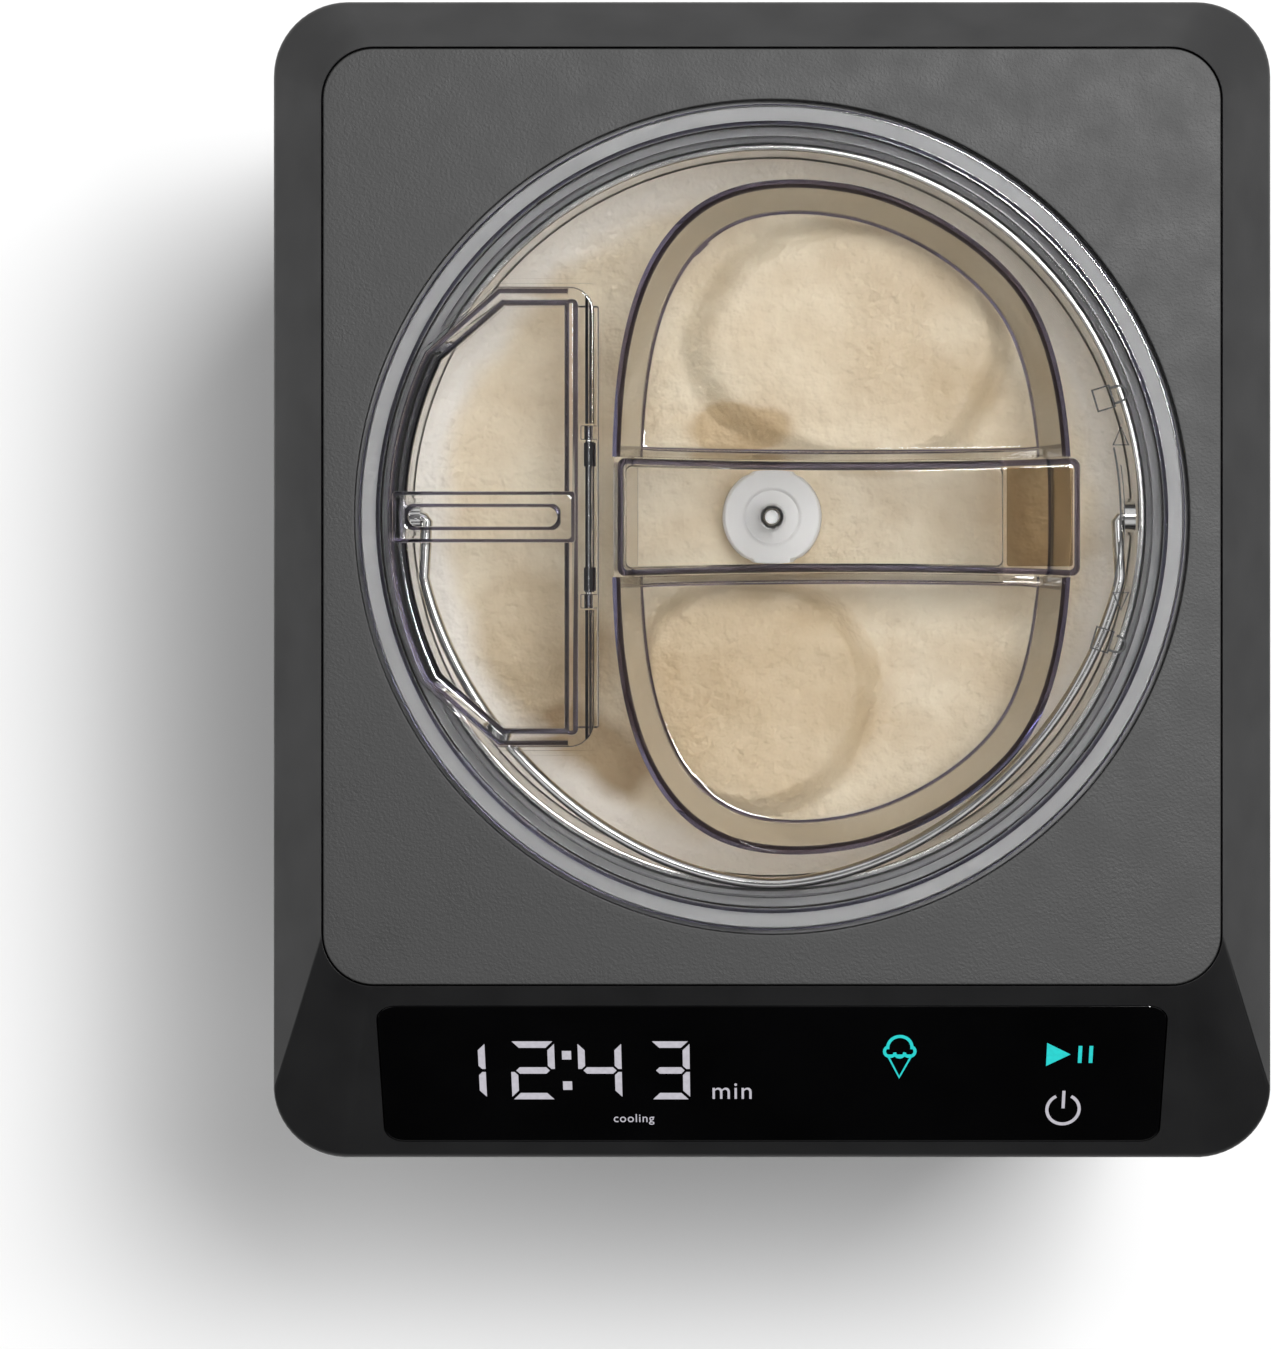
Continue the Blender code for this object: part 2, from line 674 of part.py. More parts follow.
def make_drive_shaft():
    low = turned([(SHAFT_RADIUS, 0.1408), (SHAFT_RADIUS, 0.2935)], 24, ring=False)
    half = SHAFT_SQUARE
    square = boxes([((-half, AXIS_Y - half, 0.290), (half, AXIS_Y + half, 0.3060))])
    add_part("drive_shaft", joined(low, ("UNION", square)), plated_steel(), (*OUTPUT_XY, 0.1408))
    bearing = [(0.0090, 0.1722), (0.0090, 0.1772), (0.00565, 0.1772), (0.00565, 0.1722)]
    add_part("shaft_bearing", turned(bearing, 24), brass())
    seal = [(0.0068, 0.2060), (0.0068, 0.2108), (0.00565, 0.2108), (0.00565, 0.2060)]
    add_part("shaft_seal", turned(seal, 24), black_rubber())


# ---------------------------------------------------------------- cooling circuit


def make_compressor():
    """A welded pot: a flat foot, a drum with a seam, and a domed top."""
    cx, cy = COMPRESSOR_XY
    rings = [(0.044, 0.054, 0.0222), (0.044, 0.054, 0.0248), (0.033, 0.043, 0.0262), (0.037, 0.047, 0.040),
             (0.038, 0.048, 0.070), (0.0395, 0.0495, 0.071), (0.0395, 0.0495, 0.075), (0.037, 0.047, 0.077),
             (0.034, 0.044, 0.103), (0.022, 0.030, 0.120), (0.006, 0.008, 0.126)]
    loops = [[Vector((cx + a * math.cos(t), cy + b * math.sin(t), z))
              for t in (math.tau * i / 24 for i in range(24))] for a, b, z in rings]
    add_part("compressor", loft(loops), black_enamel())
    for number, (dx, dy) in enumerate(((-0.026, -0.034), (0.026, -0.034), (0.0, 0.044)), 1):
        profile = [(0.0070, 0.0133), (0.0055, 0.0175), (0.0070, 0.0219)]
        add_part(f"compressor_grommet_{number}", turned(profile, 12, (cx + dx, cy + dy), ring=False),
                 black_rubber())


def make_condenser():
    """Finned coil: fins stand across a spine, drawn as one comb-shaped outline."""
    (x0, y0, z0), (x1, y1, z1) = CONDENSER_LOW, CONDENSER_HIGH
    fins = 13
    pitch = (x1 - x0 - 0.002) / (fins - 1)
    spine = (y0 + y1) / 2 - 0.003, (y0 + y1) / 2 + 0.003
    front, back = [], []
    for i in range(fins):
        left = x0 + i * pitch
        front += [(left, spine[0]), (left, y0), (left + 0.002, y0), (left + 0.002, spine[0])]
        back += [(left, spine[1]), (left, y1), (left + 0.002, y1), (left + 0.002, spine[1])]
    outline = front[1:-1] + back[1:-1][::-1]
    add_part("condenser", prism(outline, z0, z1), aluminium(), smooth=False)


def make_fan():
    """Square frame with spokes and a motor seat, and a hub with seven pitched blades."""
    x, z = FAN_XZ
    half = FAN_SIZE
    frame_outline = rounded_rectangle((x - half, z - half), (x + half, z + half), 0.004, 2)
    frame = upright_plate(frame_outline, [circle(0.0435, 24, FAN_XZ)], 0.1080, 0.1330)
    spokes = boxes([((x - 0.045, 0.1290, z - 0.002), (x + 0.045, 0.1325, z + 0.002)),
                    ((x - 0.002, 0.1291, z - 0.045), (x + 0.002, 0.1324, z + 0.045))])
    seat = turn_to_y(turned([(0.016, 0.0), (0.016, 0.0045)], 16, (0, 0), ring=False), (x, 0.1282, z))
    add_part("fan_frame", joined(frame, ("UNION", spokes), ("UNION", seat)), black_plastic())

    hub = turn_to_y(turned([(0.0165, 0.0), (0.0165, 0.0140), (0.0145, 0.0155)], 21, (0, 0), ring=False),
                    (x, 0.1120, z))
    steps = []
    for i in range(7):
        blade = boxes([((0.014, -0.009, -0.0008), (0.0415, 0.009, 0.0008))])
        pitch = Matrix.Rotation(math.radians(38), 4, "X")
        place = Matrix.Translation((x, 0.1200, z)) @ Matrix.Rotation(math.tau * i / 7, 4, "Y")
        steps.append(("UNION", moved(blade, place @ pitch)))
    add_part("fan_blades", joined(hub, *steps), black_plastic(), (x, 0.1200, z))


def make_pipes():
    sx, sy = SUCTION_XY
    suction = smooth_path([(sx, sy, COIL_LOW - 0.0046), (sx, sy, 0.200), (sx, sy, 0.130), (sx, sy, 0.085),
                           (sx + 0.0015, sy, 0.068), (sx + 0.0060, sy, 0.0600), (sx + 0.0105, sy, 0.0590)])
    add_part("suction_pipe", sweep(suction, 0.0030), copper())

    cx, cy = COMPRESSOR_XY
    discharge = smooth_path([(cx, cy + 0.0485, 0.090), (cx, cy + 0.060, 0.093),
                             (cx + 0.006, cy + 0.074, 0.099), (cx + 0.020, 0.0930, 0.102),
                             (-0.014, 0.0940, 0.102), (CONDENSER_LOW[0] - GAP, 0.0940, 0.102)])
    add_part("discharge_pipe", sweep(discharge, 0.0024), copper())

    drier = [(0.0022, 0.0), (0.0080, 0.008), (0.0080, 0.046), (0.0022, 0.054)]
    body = turn_to_y(turned(drier, 12, (0, 0), ring=False), (0, 0, 0))
    place = Matrix.Translation((CONDENSER_LOW[0] - GAP, 0.094, 0.040)) @ Matrix.Rotation(math.pi / 2, 4, "Z")
    add_part("filter_drier", moved(body, place), copper())

    px, py = CAPILLARY_XY
    end_angle = math.radians(180 + 360 * COIL_TURNS - 45)
    end = Vector((math.cos(end_angle), math.sin(end_angle), 0)) * (COIL_RADIUS + COIL_TUBE + 0.0016)
    tail = CONDENSER_LOW[0] - 0.0546
    capillary = smooth_path([(tail, 0.094, 0.040), (tail - 0.008, 0.094, 0.042), (px, 0.0935, 0.060),
                             (px, py, 0.090), (px, py, 0.150), (px, py, 0.230), (px, py, 0.300),
                             (px, py, 0.312), tuple(end + Vector((0, AXIS_Y, COIL_HIGH)))], 3)
    add_part("capillary_tube", sweep(capillary, 0.0012, 5), copper())


# ---------------------------------------------------------------- electrics


def make_electrics():
    board = boxes([((-0.062, -0.1300, 0.160), (0.062, -0.1284, 0.270))])
    parts = [((-0.050, -0.129, 0.168), (-0.018, -0.108, 0.194)),
             ((-0.008, -0.129, 0.170), (0.010, -0.112, 0.190)),
             ((0.022, -0.129, 0.168), (0.050, -0.110, 0.180)),
             ((-0.046, -0.129, 0.222), (-0.014, -0.122, 0.250)),
             ((0.010, -0.129, 0.226), (0.046, -0.124, 0.238))]
    add_part("power_board", joined(board, *(("UNION", boxes([pair])) for pair in parts)), circuit_board(),
             smooth=False)

    x, z = INLET_XZ
    body = boxes([((x - 0.0143, 0.1120, z - 0.0103), (x + 0.0143, 0.1390, z + 0.0103))])
    flange = boxes([((x - 0.0190, 0.1383, z - 0.0140), (x + 0.0190, 0.1396, z + 0.0140))])
    cavity = boxes([((x - 0.0120, 0.1230, z - 0.0080), (x + 0.0120, 0.1450, z + 0.0080))])
    pins = [("UNION", boxes([((x + dx - 0.0010, 0.1210, z + dz - 0.0020),
                              (x + dx + 0.0010, 0.1330, z + dz + 0.0020))]))
            for dx, dz in ((-0.007, -0.002), (0.0, 0.002), (0.007, -0.002))]
    add_part("power_inlet", joined(body, ("UNION", flange), ("DIFFERENCE", cavity), *pins), black_plastic(),
             smooth=False)


# ---------------------------------------------------------------- bowl, bail and paddle


def make_bowl():
    floor = BOWL_BOTTOM + 0.0015
    profile = [(0.0062, BOWL_BOTTOM), (0.0830, BOWL_BOTTOM), (BOWL_OUTER, BOWL_BOTTOM + 0.0045),
               (BOWL_OUTER, BOWL_TOP - 0.002), (BOWL_RIM, BOWL_TOP - 0.002), (BOWL_RIM, BOWL_TOP),
               (BOWL_INNER, BOWL_TOP), (BOWL_INNER, floor + 0.004), (0.0825, floor), (0.0080, floor),
               (0.0080, TUBE_TOP), (0.0062, TUBE_TOP)]
    add_part("mixing_bowl", turned(profile), brushed_steel(), (*OUTPUT_XY, BOWL_BOTTOM))
    for side, sign in (("left", -1), ("right", 1)):
        ear = [(0.0044, -0.0060), (0.0044, 0.0005), (0.0022, 0.0030), (-0.0022, 0.0030), (-0.0044, 0.0005),
               (-0.0044, -0.0060)]
        outline = [(AXIS_Y + y, BAIL_PIVOT_Z + z) for y, z in ear]
        hole = circle(0.0020, 8, (AXIS_Y, BAIL_PIVOT_Z))
        bm = plate(outline, [hole], 0.0834, 0.0862)
        bmesh.ops.transform(bm, verts=bm.verts, matrix=Matrix(((0, 0, 1, 0), (1, 0, 0, 0), (0, 1, 0, 0),
                                                              (0, 0, 0, 1))))
        if sign < 0:
            moved(bm, Matrix.Rotation(math.pi, 4, "Z"))
            moved(bm, Matrix.Translation((0, 2 * AXIS_Y, 0)))
        bmesh.ops.recalc_face_normals(bm, faces=bm.faces)
        add_part(f"bail_ear_{side}", bm, plated_steel())


def bail_points(count=26):
    """The wire's middle line: a full curve from ear to ear, with a short stub through each ear."""
    stub = [(0.0856, 0.0), (0.0830, 0.0), (0.0818, 0.0012)]
    curve = []
    for i in range(2, count - 1):
        angle = math.pi * i / count
        c, s = math.cos(angle), math.sin(angle)
        curve.append((BAIL_X * math.copysign(abs(c) ** (2 / BAIL_POWER), c), BAIL_Y * s ** (2 / BAIL_POWER)))
    whole = [*stub, *curve, *((-x, y) for x, y in reversed(stub))]
    lean = (BAIL_TIP_Z - BAIL_PIVOT_Z) / BAIL_Y
    return [Vector((x, AXIS_Y - y, BAIL_PIVOT_Z + lean * y)) for x, y in whole]


def make_bail():
    add_part("bail_handle", sweep(bail_points(), BAIL_WIRE, 8), plated_steel(), (0, AXIS_Y, BAIL_PIVOT_Z))


def make_paddle():
    """A tall sleeve over the bowl's tube, a driven cap, and a frame with two wall scrapers."""
    hub = turned([(0.0120, 0.2165), (0.0120, HUB_TOP - 0.001), (0.0110, HUB_TOP)], 24, ring=False)
    bore = turned([(0.0086, 0.2140), (0.0086, 0.2946)], 24, ring=False)
    half = SHAFT_SQUARE + GAP
    socket = boxes([((-half, AXIS_Y - half, 0.2900), (half, AXIS_Y + half, 0.3080))])
    pin_bore = turned([(0.0027, 0.3115), (0.0027, 0.3200)], 12, ring=False)
    steps = []
    for turn in (math.pi / 2, -math.pi / 2):
        place = Matrix.Translation((0, AXIS_Y, 0)) @ Matrix.Rotation(turn, 4, "Z")
        top = boxes([((0.0105, -0.0042, 0.2995), (0.0800, 0.0042, 0.3055))])
        low = boxes([((0.0105, -0.0040, 0.2185), (0.0800, 0.0040, 0.2250))])
        lean = Matrix.Translation((0.080, 0, 0)) @ Matrix.Rotation(math.radians(35), 4, "Z")
        scraper = moved(boxes([((-0.0065, -0.0014, 0.2180), (0.0045, 0.0014, 0.3060))]), lean)
        slat = moved(boxes([((-0.0090, -0.0012, 0.2240), (0.0060, 0.0012, 0.3000))]),
                     Matrix.Translation((0.044, 0, 0)) @ Matrix.Rotation(math.radians(-40), 4, "Z"))
        steps += [("UNION", moved(shape, place)) for shape in (top, low, scraper, slat)]
    whole = joined(hub, ("DIFFERENCE", bore), ("DIFFERENCE", socket), ("DIFFERENCE", pin_bore), *steps)
    add_part("paddle", whole, white_plastic(), (*OUTPUT_XY, BOWL_BOTTOM))


# ---------------------------------------------------------------- lid


def oval_point(angle, inset):
    """A point of the finger-well oval, relative to the lid axis, at an angle round the oval's middle."""
    c, s = math.cos(angle), math.sin(angle)
    power = WELL_POWER_RIGHT if c > 0 else WELL_POWER_LEFT
    x = WELL_MIDDLE_X + (WELL_HALF_X - inset) * math.copysign(abs(c) ** (2 / power), c)
    y = (WELL_HALF_Y - inset) * math.copysign(abs(s) ** (2 / power), s)
    reach = math.hypot(x, y)
    limit = WELL_LIMIT - inset
    if reach > limit:
        x, y = x * limit / reach, y * limit / reach
    return x, y


def oval_loop(inset, height, count=36):
    points = [oval_point(math.tau * i / count, inset) for i in range(count)]
    return [Vector((x, y + AXIS_Y, height)) for x, y in points]


def edge_angle(inset, bar_edge, right):
    """The angle at which the oval's upper half meets the line y = bar_edge, found by halving."""
    low, high = 0.0, math.pi / 2
    for _ in range(40):
        middle = (low + high) / 2
        angle = middle if right else math.pi - middle
        if oval_point(angle, inset)[1] < bar_edge:
            low = middle
        else:
            high = middle
    return low if right else math.pi - low


def waist(x):
    """How far the handle bar's side is drawn in at x, most in the middle of the bar."""
    share = (2 * x - BAR_LEFT - BAR_RIGHT) / (BAR_RIGHT - BAR_LEFT)
    return BAR_WAIST * max(1 - share * share, 0.0)


def bar_outline(half, left, right, count=8):
    """Outline of the waisted bar, or of the hollow in it."""
    xs = [left + (right - left) * i / count for i in range(count + 1)]
    front = [(x, AXIS_Y - half + waist(x)) for x in xs]
    return front + [(x, AXIS_Y + half - waist(x)) for x in reversed(xs)]


def well_loop(inset, bar_edge, height, side, count=18):
    """Half of the oval on one side of the handle bar: its arc, closed by the bar's waisted edge."""
    start, end = edge_angle(inset, bar_edge, True), edge_angle(inset, bar_edge, False)
    points = [oval_point(start + (end - start) * i / count, inset) for i in range(count + 1)]
    left, right = points[-1][0], points[0][0]
    xs = [left + (right - left) * i / 8 for i in range(1, 8)]
    points += [(x, bar_edge - waist(x)) for x in xs]
    loop = [Vector((x, side * y + AXIS_Y, height)) for x, y in points]
    return loop if side > 0 else loop[::-1]


def well_cutter(side):
    return loft([well_loop(0.0064, BAR_HALF_Y + 0.0024, WELL_FLOOR, side),
                 well_loop(0.0032, BAR_HALF_Y + 0.0008, 0.3380, side),
                 well_loop(0.0018, BAR_HALF_Y + 0.0003, 0.3440, side),
                 well_loop(0.0004, BAR_HALF_Y, 0.3456, side),
                 well_loop(0.0004, BAR_HALF_Y, 0.3520, side)])


SQUARE_CORNER = 0.0005


def flap_outline(inset, corner=0.006):
    """The D of the flap or of its opening, relative to the lid axis, shrunk by inset."""
    right, top = FLAP_RIGHT - inset, FLAP_HALF_Y - inset
    radius = max(corner - inset, 0.001)
    upper = []
    for step in range(4):
        angle = math.pi / 2 * step / 3
        upper.append((right - radius + radius * math.cos(angle), top - radius + radius * math.sin(angle)))
    upper.append((FLAP_CORNER_X + 0.3 * inset, top))
    arc = []
    for step in range(9):
        angle = math.radians(180 - FLAP_ARC_ANGLE + 2 * FLAP_ARC_ANGLE * step / 8)
        arc.append(((FLAP_ARC - inset) * math.cos(angle), (FLAP_ARC - inset) * math.sin(angle)))
    lower = [(x, -y) for x, y in reversed(upper)]
    return [(x, y + AXIS_Y) for x, y in upper + arc + lower]


def knuckle_boxes(y_low, y_high, x_low, x_high, z_low, z_high):
    return [((x_low, AXIS_Y + y_low, z_low), (x_high, AXIS_Y + y_high, z_high)),
            ((x_low, AXIS_Y - y_high, z_low), (x_high, AXIS_Y - y_low, z_high))]


def pin_along_y(radius, half_length, sides):
    bm = turned([(radius, -half_length), (radius, half_length)], sides, (0, 0), ring=False)
    return turn_to_y(bm, (HINGE_X, AXIS_Y, HINGE_Z))


def make_lid():
    blank = turned([(SKIRT_INNER, LID_UNDER), (SKIRT_INNER, 0.3334), (SKIRT_OUTER, 0.3334),
                    (SKIRT_OUTER, LID_UNDER), (FLANGE_OUTER, LID_UNDER), (FLANGE_OUTER, FLANGE_TOP),
                    (0.0934, FLANGE_TOP), (0.0930, LID_TOP)], ring=False)
    tub = loft([oval_loop(0.0042, 0.3203), oval_loop(0.0012, 0.3380), oval_loop(0.0002, 0.3440)])
    bar = prism(bar_outline(BAR_HALF_Y - 0.0001, BAR_LEFT, BAR_RIGHT), 0.3440, BAR_TOP)
    hollow = loft([flat_loop(bar_outline(half, left, right), z) for z, half, left, right in
                   ((0.3180, 0.0142, -0.0320, 0.0560), (0.3465, 0.0122, -0.0346, 0.0545))])
    boss = turned([(0.0034, 0.3192), (0.0032, 0.3475)], 12, ring=False)
    boss_bore = turned([(0.0020, 0.3180), (0.0020, 0.3347)], 12, ring=False)
    tabs = [("UNION", sector(SKIRT_OUTER - 0.001, TAB_OUTER, 0.3342, 0.3372, angle, 8))
            for angle in BAYONET_ANGLES]
    frame = prism(flap_outline(-0.0020, SQUARE_CORNER), 0.3405, 0.3435)
    beam = boxes([((FLAP_RIGHT - 0.0050, AXIS_Y - 0.0500, 0.3352),
                   (FLAP_RIGHT + 0.0010, AXIS_Y + 0.0500, 0.3410))])
    recess = prism(flap_outline(-0.0008, SQUARE_CORNER), 0.3420, 0.3600)
    opening = prism(flap_outline(0.0048), 0.3300, 0.3600)
    knuckles = boxes(knuckle_boxes(0.0182, 0.0216, -0.0452, -0.0405, 0.3414, 0.3455))
    steps = [("UNION", tub), ("UNION", bar), *tabs, ("UNION", frame), ("UNION", beam),
             ("DIFFERENCE", well_cutter(1)),
             ("DIFFERENCE", well_cutter(-1)), ("DIFFERENCE", hollow), ("UNION", boss),
             ("DIFFERENCE", boss_bore), ("DIFFERENCE", recess), ("DIFFERENCE", opening), ("UNION", knuckles),
             ("DIFFERENCE", pin_along_y(0.00105, 0.0260, 10))]
    add_part("lid", joined(blank, *steps), clear_plastic(), (*OUTPUT_XY, LID_UNDER))
    add_part("flap_hinge_pin", pin_along_y(0.00075, 0.0212, 10), plated_steel())
    pin = [(0.0012, 0.3122), (0.0017, 0.3130), (0.0017, 0.3344)]
    add_part("lid_center_pin", turned(pin, 12, ring=False), plated_steel())
    seal = [(SEAL_OUTER, RING_TOP + GAP), (SEAL_OUTER, LID_UNDER - GAP), (SEAL_INNER, LID_UNDER - GAP),
            (SEAL_INNER, RING_TOP + GAP)]
    add_part("lid_seal", turned(seal), grey_rubber(), (*OUTPUT_XY, RING_TOP))


def make_flap():
    """A door with a rim on three sides, a raised finger rail across it and two hinge knuckles."""
    door = prism(flap_outline(0.0), FLAP_BOTTOM, FLAP_TOP)
    rim = loft([flat_loop(flap_outline(inset), z) for inset, z in
                ((0.0004, 0.3438), (0.0004, 0.3473), (0.0046, 0.3473), (0.0046, 0.3438))], ring=True)
    beside_hinge = boxes([((-0.0481, -0.1000, 0.3300), (-0.0300, 0.1500, 0.3600))])
    rail = boxes([((-0.0895, AXIS_Y - 0.0058, 0.3430), (-0.0463, AXIS_Y + 0.0058, 0.3485))])
    slot = boxes([((-0.0856, AXIS_Y - 0.0033, 0.3440), (-0.0507, AXIS_Y + 0.0033, 0.3600))])
    bead = boxes([((-0.0490, AXIS_Y - 0.0515, 0.3440), (-0.0457, AXIS_Y + 0.0515, 0.3469))])
    notches = boxes(knuckle_boxes(0.0178, 0.0220, -0.0458, -0.0400, 0.3300, 0.3600))
    barrels = []
    for side in (1, -1):
        place = (HINGE_X, AXIS_Y + side * KNUCKLE_Y, HINGE_Z)
        shape = turned([(0.0017, -0.0028), (0.0017, 0.0028)], 10, (0, 0), ring=False)
        barrels.append(("UNION", turn_to_y(shape, place)))
    bore = pin_along_y(0.00085, 0.0600, 10)
    whole = joined(rim, ("DIFFERENCE", beside_hinge), ("UNION", door), ("UNION", bead),
                   ("UNION", rail), ("DIFFERENCE", slot),
                   ("DIFFERENCE", notches), *barrels, ("DIFFERENCE", bore))
    add_part("ingredient_flap", whole, clear_plastic(), (HINGE_X, AXIS_Y, HINGE_Z))


# ---------------------------------------------------------------- the whole object


def clear_scene():
    for item in list(bpy.data.objects):
        bpy.data.objects.remove(item, do_unlink=True)


def clear_tools():
    """Removes the working objects that the Boolean steps leave behind."""
    for item in list(bpy.data.objects):
        if item.data is None or item.name.startswith(("work", "tool")):
            bpy.data.objects.remove(item, do_unlink=True)


def main():
    clear_scene()
    make_base()
    make_feet()
    make_pillars()
    make_lower_casing()
    make_rear_cover()
    make_upper_housing()
    make_display()
    make_top_deck()
    make_tub_ring()
    make_tub()
    make_coil()
    make_foam()
    make_mid_plate()
    make_gearbox()
    make_gears()
    make_motor()
    make_drive_shaft()
    make_compressor()
    make_condenser()
    make_fan()
    make_pipes()
    make_electrics()
    make_bowl()
    make_bail()
    make_paddle()
    make_lid()
    make_flap()
    clear_tools()


main()
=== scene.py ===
"""Looks of a counter-top ice cream maker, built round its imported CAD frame. Metres, Z up, front at -Y."""

import math

import bmesh
import bpy
from mathutils import Matrix, Vector, noise


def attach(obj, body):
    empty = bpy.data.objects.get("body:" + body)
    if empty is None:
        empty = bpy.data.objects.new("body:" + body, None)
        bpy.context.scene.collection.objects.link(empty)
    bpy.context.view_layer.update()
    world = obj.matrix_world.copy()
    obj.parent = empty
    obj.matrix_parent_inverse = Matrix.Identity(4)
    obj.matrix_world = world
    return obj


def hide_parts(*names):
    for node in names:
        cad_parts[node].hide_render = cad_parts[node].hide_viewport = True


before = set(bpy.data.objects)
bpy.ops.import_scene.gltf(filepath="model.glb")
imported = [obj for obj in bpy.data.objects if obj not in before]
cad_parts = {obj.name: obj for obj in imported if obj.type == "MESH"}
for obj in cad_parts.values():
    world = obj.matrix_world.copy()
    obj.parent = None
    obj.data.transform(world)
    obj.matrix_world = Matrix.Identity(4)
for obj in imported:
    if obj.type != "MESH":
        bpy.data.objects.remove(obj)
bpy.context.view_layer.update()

# Body and collar
BODY_X = 0.120
BODY_Y = 0.140
BODY_CORNER = 0.018
WALL = 0.0025
SHEET = 0.0012
SPLIT_Z = 0.300
SIDE_EDGE_Z = 0.323
FRONT_EDGE_Z = 0.3094
DECK_Z = 0.345
DECK_THICK = 0.003
DECK_X = 0.106
DECK_FRONT = -0.0944
DECK_BACK = 0.1266
DECK_CORNER = 0.012
DECK_GAP = 0.0004
SLOT_HIGH = 0.0035
SLOT_END = 0.0017
BACK_Y = 0.1380
SCREW_PLACES = [(x, z) for x in (-0.090, 0.090) for z in (0.026, 0.288)]
INLET_XZ = (-0.066, 0.052)

# Display window: half width, and start and end down the front slope; the marks' faces, over that slope
GLASS_HALF_X = 0.0937
GLASS_DOWN = (0.0066, 0.0517)
DISPLAY_OUT = (-0.0004, 0.00006)

# The upright axis that the tub, bowl, paddle and lid share
AXIS_Y = 0.016
AXIS = Vector((0.0, AXIS_Y, 0.0))
SIDES = 160
BAYONET_ANGLES = (45, 135, 225, 315)
LUG_OFFSET = -21
DECK_OPENING = 0.0986
DECK_STEP = 0.1006
FLANGE_OUTER = 0.0976
LID_UNDER = 0.3425
FLANGE_TOP = 0.3446
LID_TOP = 0.3455
MARK_HEIGHT = (LID_TOP + 0.00002, LID_TOP + 0.00022)
BAR_TOP = 0.349
BAR_LEFT = -0.0366
BAR_RIGHT = 0.0727
BAR_HALF_Y = 0.0142
BAR_WAIST = 0.0010

# Finger wells of the lid
WELL_MIDDLE_X = 0.0165
WELL_HALF_X = 0.0545
WELL_HALF_Y = 0.0812
WELL_POWER_RIGHT = 2.4
WELL_POWER_LEFT = 3.0
WELL_LIMIT = 0.0812
WELL_EASE = 0.0016
WELL_FLOOR = 0.3225

# Flap and its hinge; the flap's seat in the lid has nearly square corners
FLAP_RIGHT = -0.0420
FLAP_HALF_Y = 0.0544
FLAP_CORNER_X = -0.0646
FLAP_ARC = 0.0908
FLAP_ARC_ANGLE = 25.4
FLAP_BOTTOM = 0.3427
FLAP_TOP = 0.3453
HINGE_X = -0.0433
HINGE_Z = 0.3440
KNUCKLE_Y = 0.0147
SQUARE_CORNER = 0.0005

# Bail of the bowl
BAIL_X = 0.0846
BAIL_Y = 0.0870
BAIL_POWER = 1.8
BAIL_WIRE = 0.0014
BAIL_PIVOT_Z = 0.3365
BAIL_TIP_Z = 0.3388

# Studio: the key light, the world's brightness by height, and its shaded part towards the front
KEY_PLACE = (0.44, 0.44, 2.4)
KEY_AIM = (0.0, 0.0, 0.2)
KEY_SIZE = (0.58, 0.50)
KEY_POWER = 50.0
SKY_LEVELS = ((0.0, 0.05), (0.0, 0.06), (0.30, 0.08), (0.52, 0.70), (0.88, 0.70), (0.97, 0.16), (1.0, 0.11))
FLAG_EDGE = (-0.95, -0.68)
FLAG_LEVEL = 0.10
BACKDROP = (0.95, 0.95, 0.95, 1.0)
FLOOR_HALF = 6
WHITE = (1.0, 1.0, 1.0)
PLASTIC_IOR = 1.49

# Round folds of the cream: height, middle from the axis, half sizes, and width of the edge
CREAM_FOLDS = ((0.0054, (0.020, 0.042), (0.040, 0.034), 0.22),
               (0.0060, (-0.004, -0.043), (0.033, 0.031), 0.22),
               (0.0040, (-0.060, -0.002), (0.027, 0.050), 0.34))
# Darker where shade falls in the cream's folds and hollows, brighter under the handle bar and the flap
# Painted shade and painted light in the cream: middle from the axis, half sizes, and the share of the colour
# there
CREAM_PAINTED_SHADE_AND_LIGHT = (((-0.004, -0.043), (0.033, 0.031), (0.84, 0.78, 0.70)),
                ((-0.008, 0.021), (0.014, 0.008), (0.74, 0.65, 0.53)),
                ((-0.058, -0.034), (0.020, 0.024), (0.82, 0.77, 0.70)),
                ((-0.050, -0.060), (0.024, 0.015), (0.58, 0.50, 0.40)),
                ((0.026, 0.042), (0.040, 0.030), (0.95, 0.92, 0.88)),
                ((0.018, 0.000), (0.066, 0.017), (1.10, 1.10, 1.10)),
                ((-0.066, 0.022), (0.024, 0.030), (1.08, 1.07, 1.06)))
# How far the painted shades' outlines stray, and the paler cream against the bowl's wall, partly smeared and
# partly painted light
CREAM_STRAY = 0.010
CREAM_RIM = (0.0740, 0.0830)
CREAM_RIM_COLOUR = (0.99, 0.94, 0.86)


# ---- camera, light and floor


def placed(name, data):
    """A new object in the scene."""
    thing = bpy.data.objects.new(name, data)
    bpy.context.scene.collection.objects.link(thing)
    return thing


def make_camera():
    """Straight down over the bowl's axis, shifted so that the object sits as it is framed."""
    data = bpy.data.cameras.new("camera")
    data.lens = 130.0
    data.sensor_width = 36.0
    data.shift_x = -0.1012
    data.shift_y = -0.1168
    data.clip_start = 0.05
    data.clip_end = 50.0
    camera = placed("camera", data)
    camera.location = (0.0, AXIS_Y, DECK_Z + 1.15)
    bpy.context.scene.camera = camera


def make_key():
    """One soft box, high up behind the right side."""
    data = bpy.data.lights.new("key", "AREA")
    data.shape = "RECTANGLE"
    data.size, data.size_y = KEY_SIZE
    data.energy = KEY_POWER
    light = placed("key", data)
    light.location = KEY_PLACE
    light.rotation_mode = "QUATERNION"
    light.rotation_quaternion = (Vector(KEY_AIM) - Vector(KEY_PLACE)).to_track_quat("-Z", "Y")


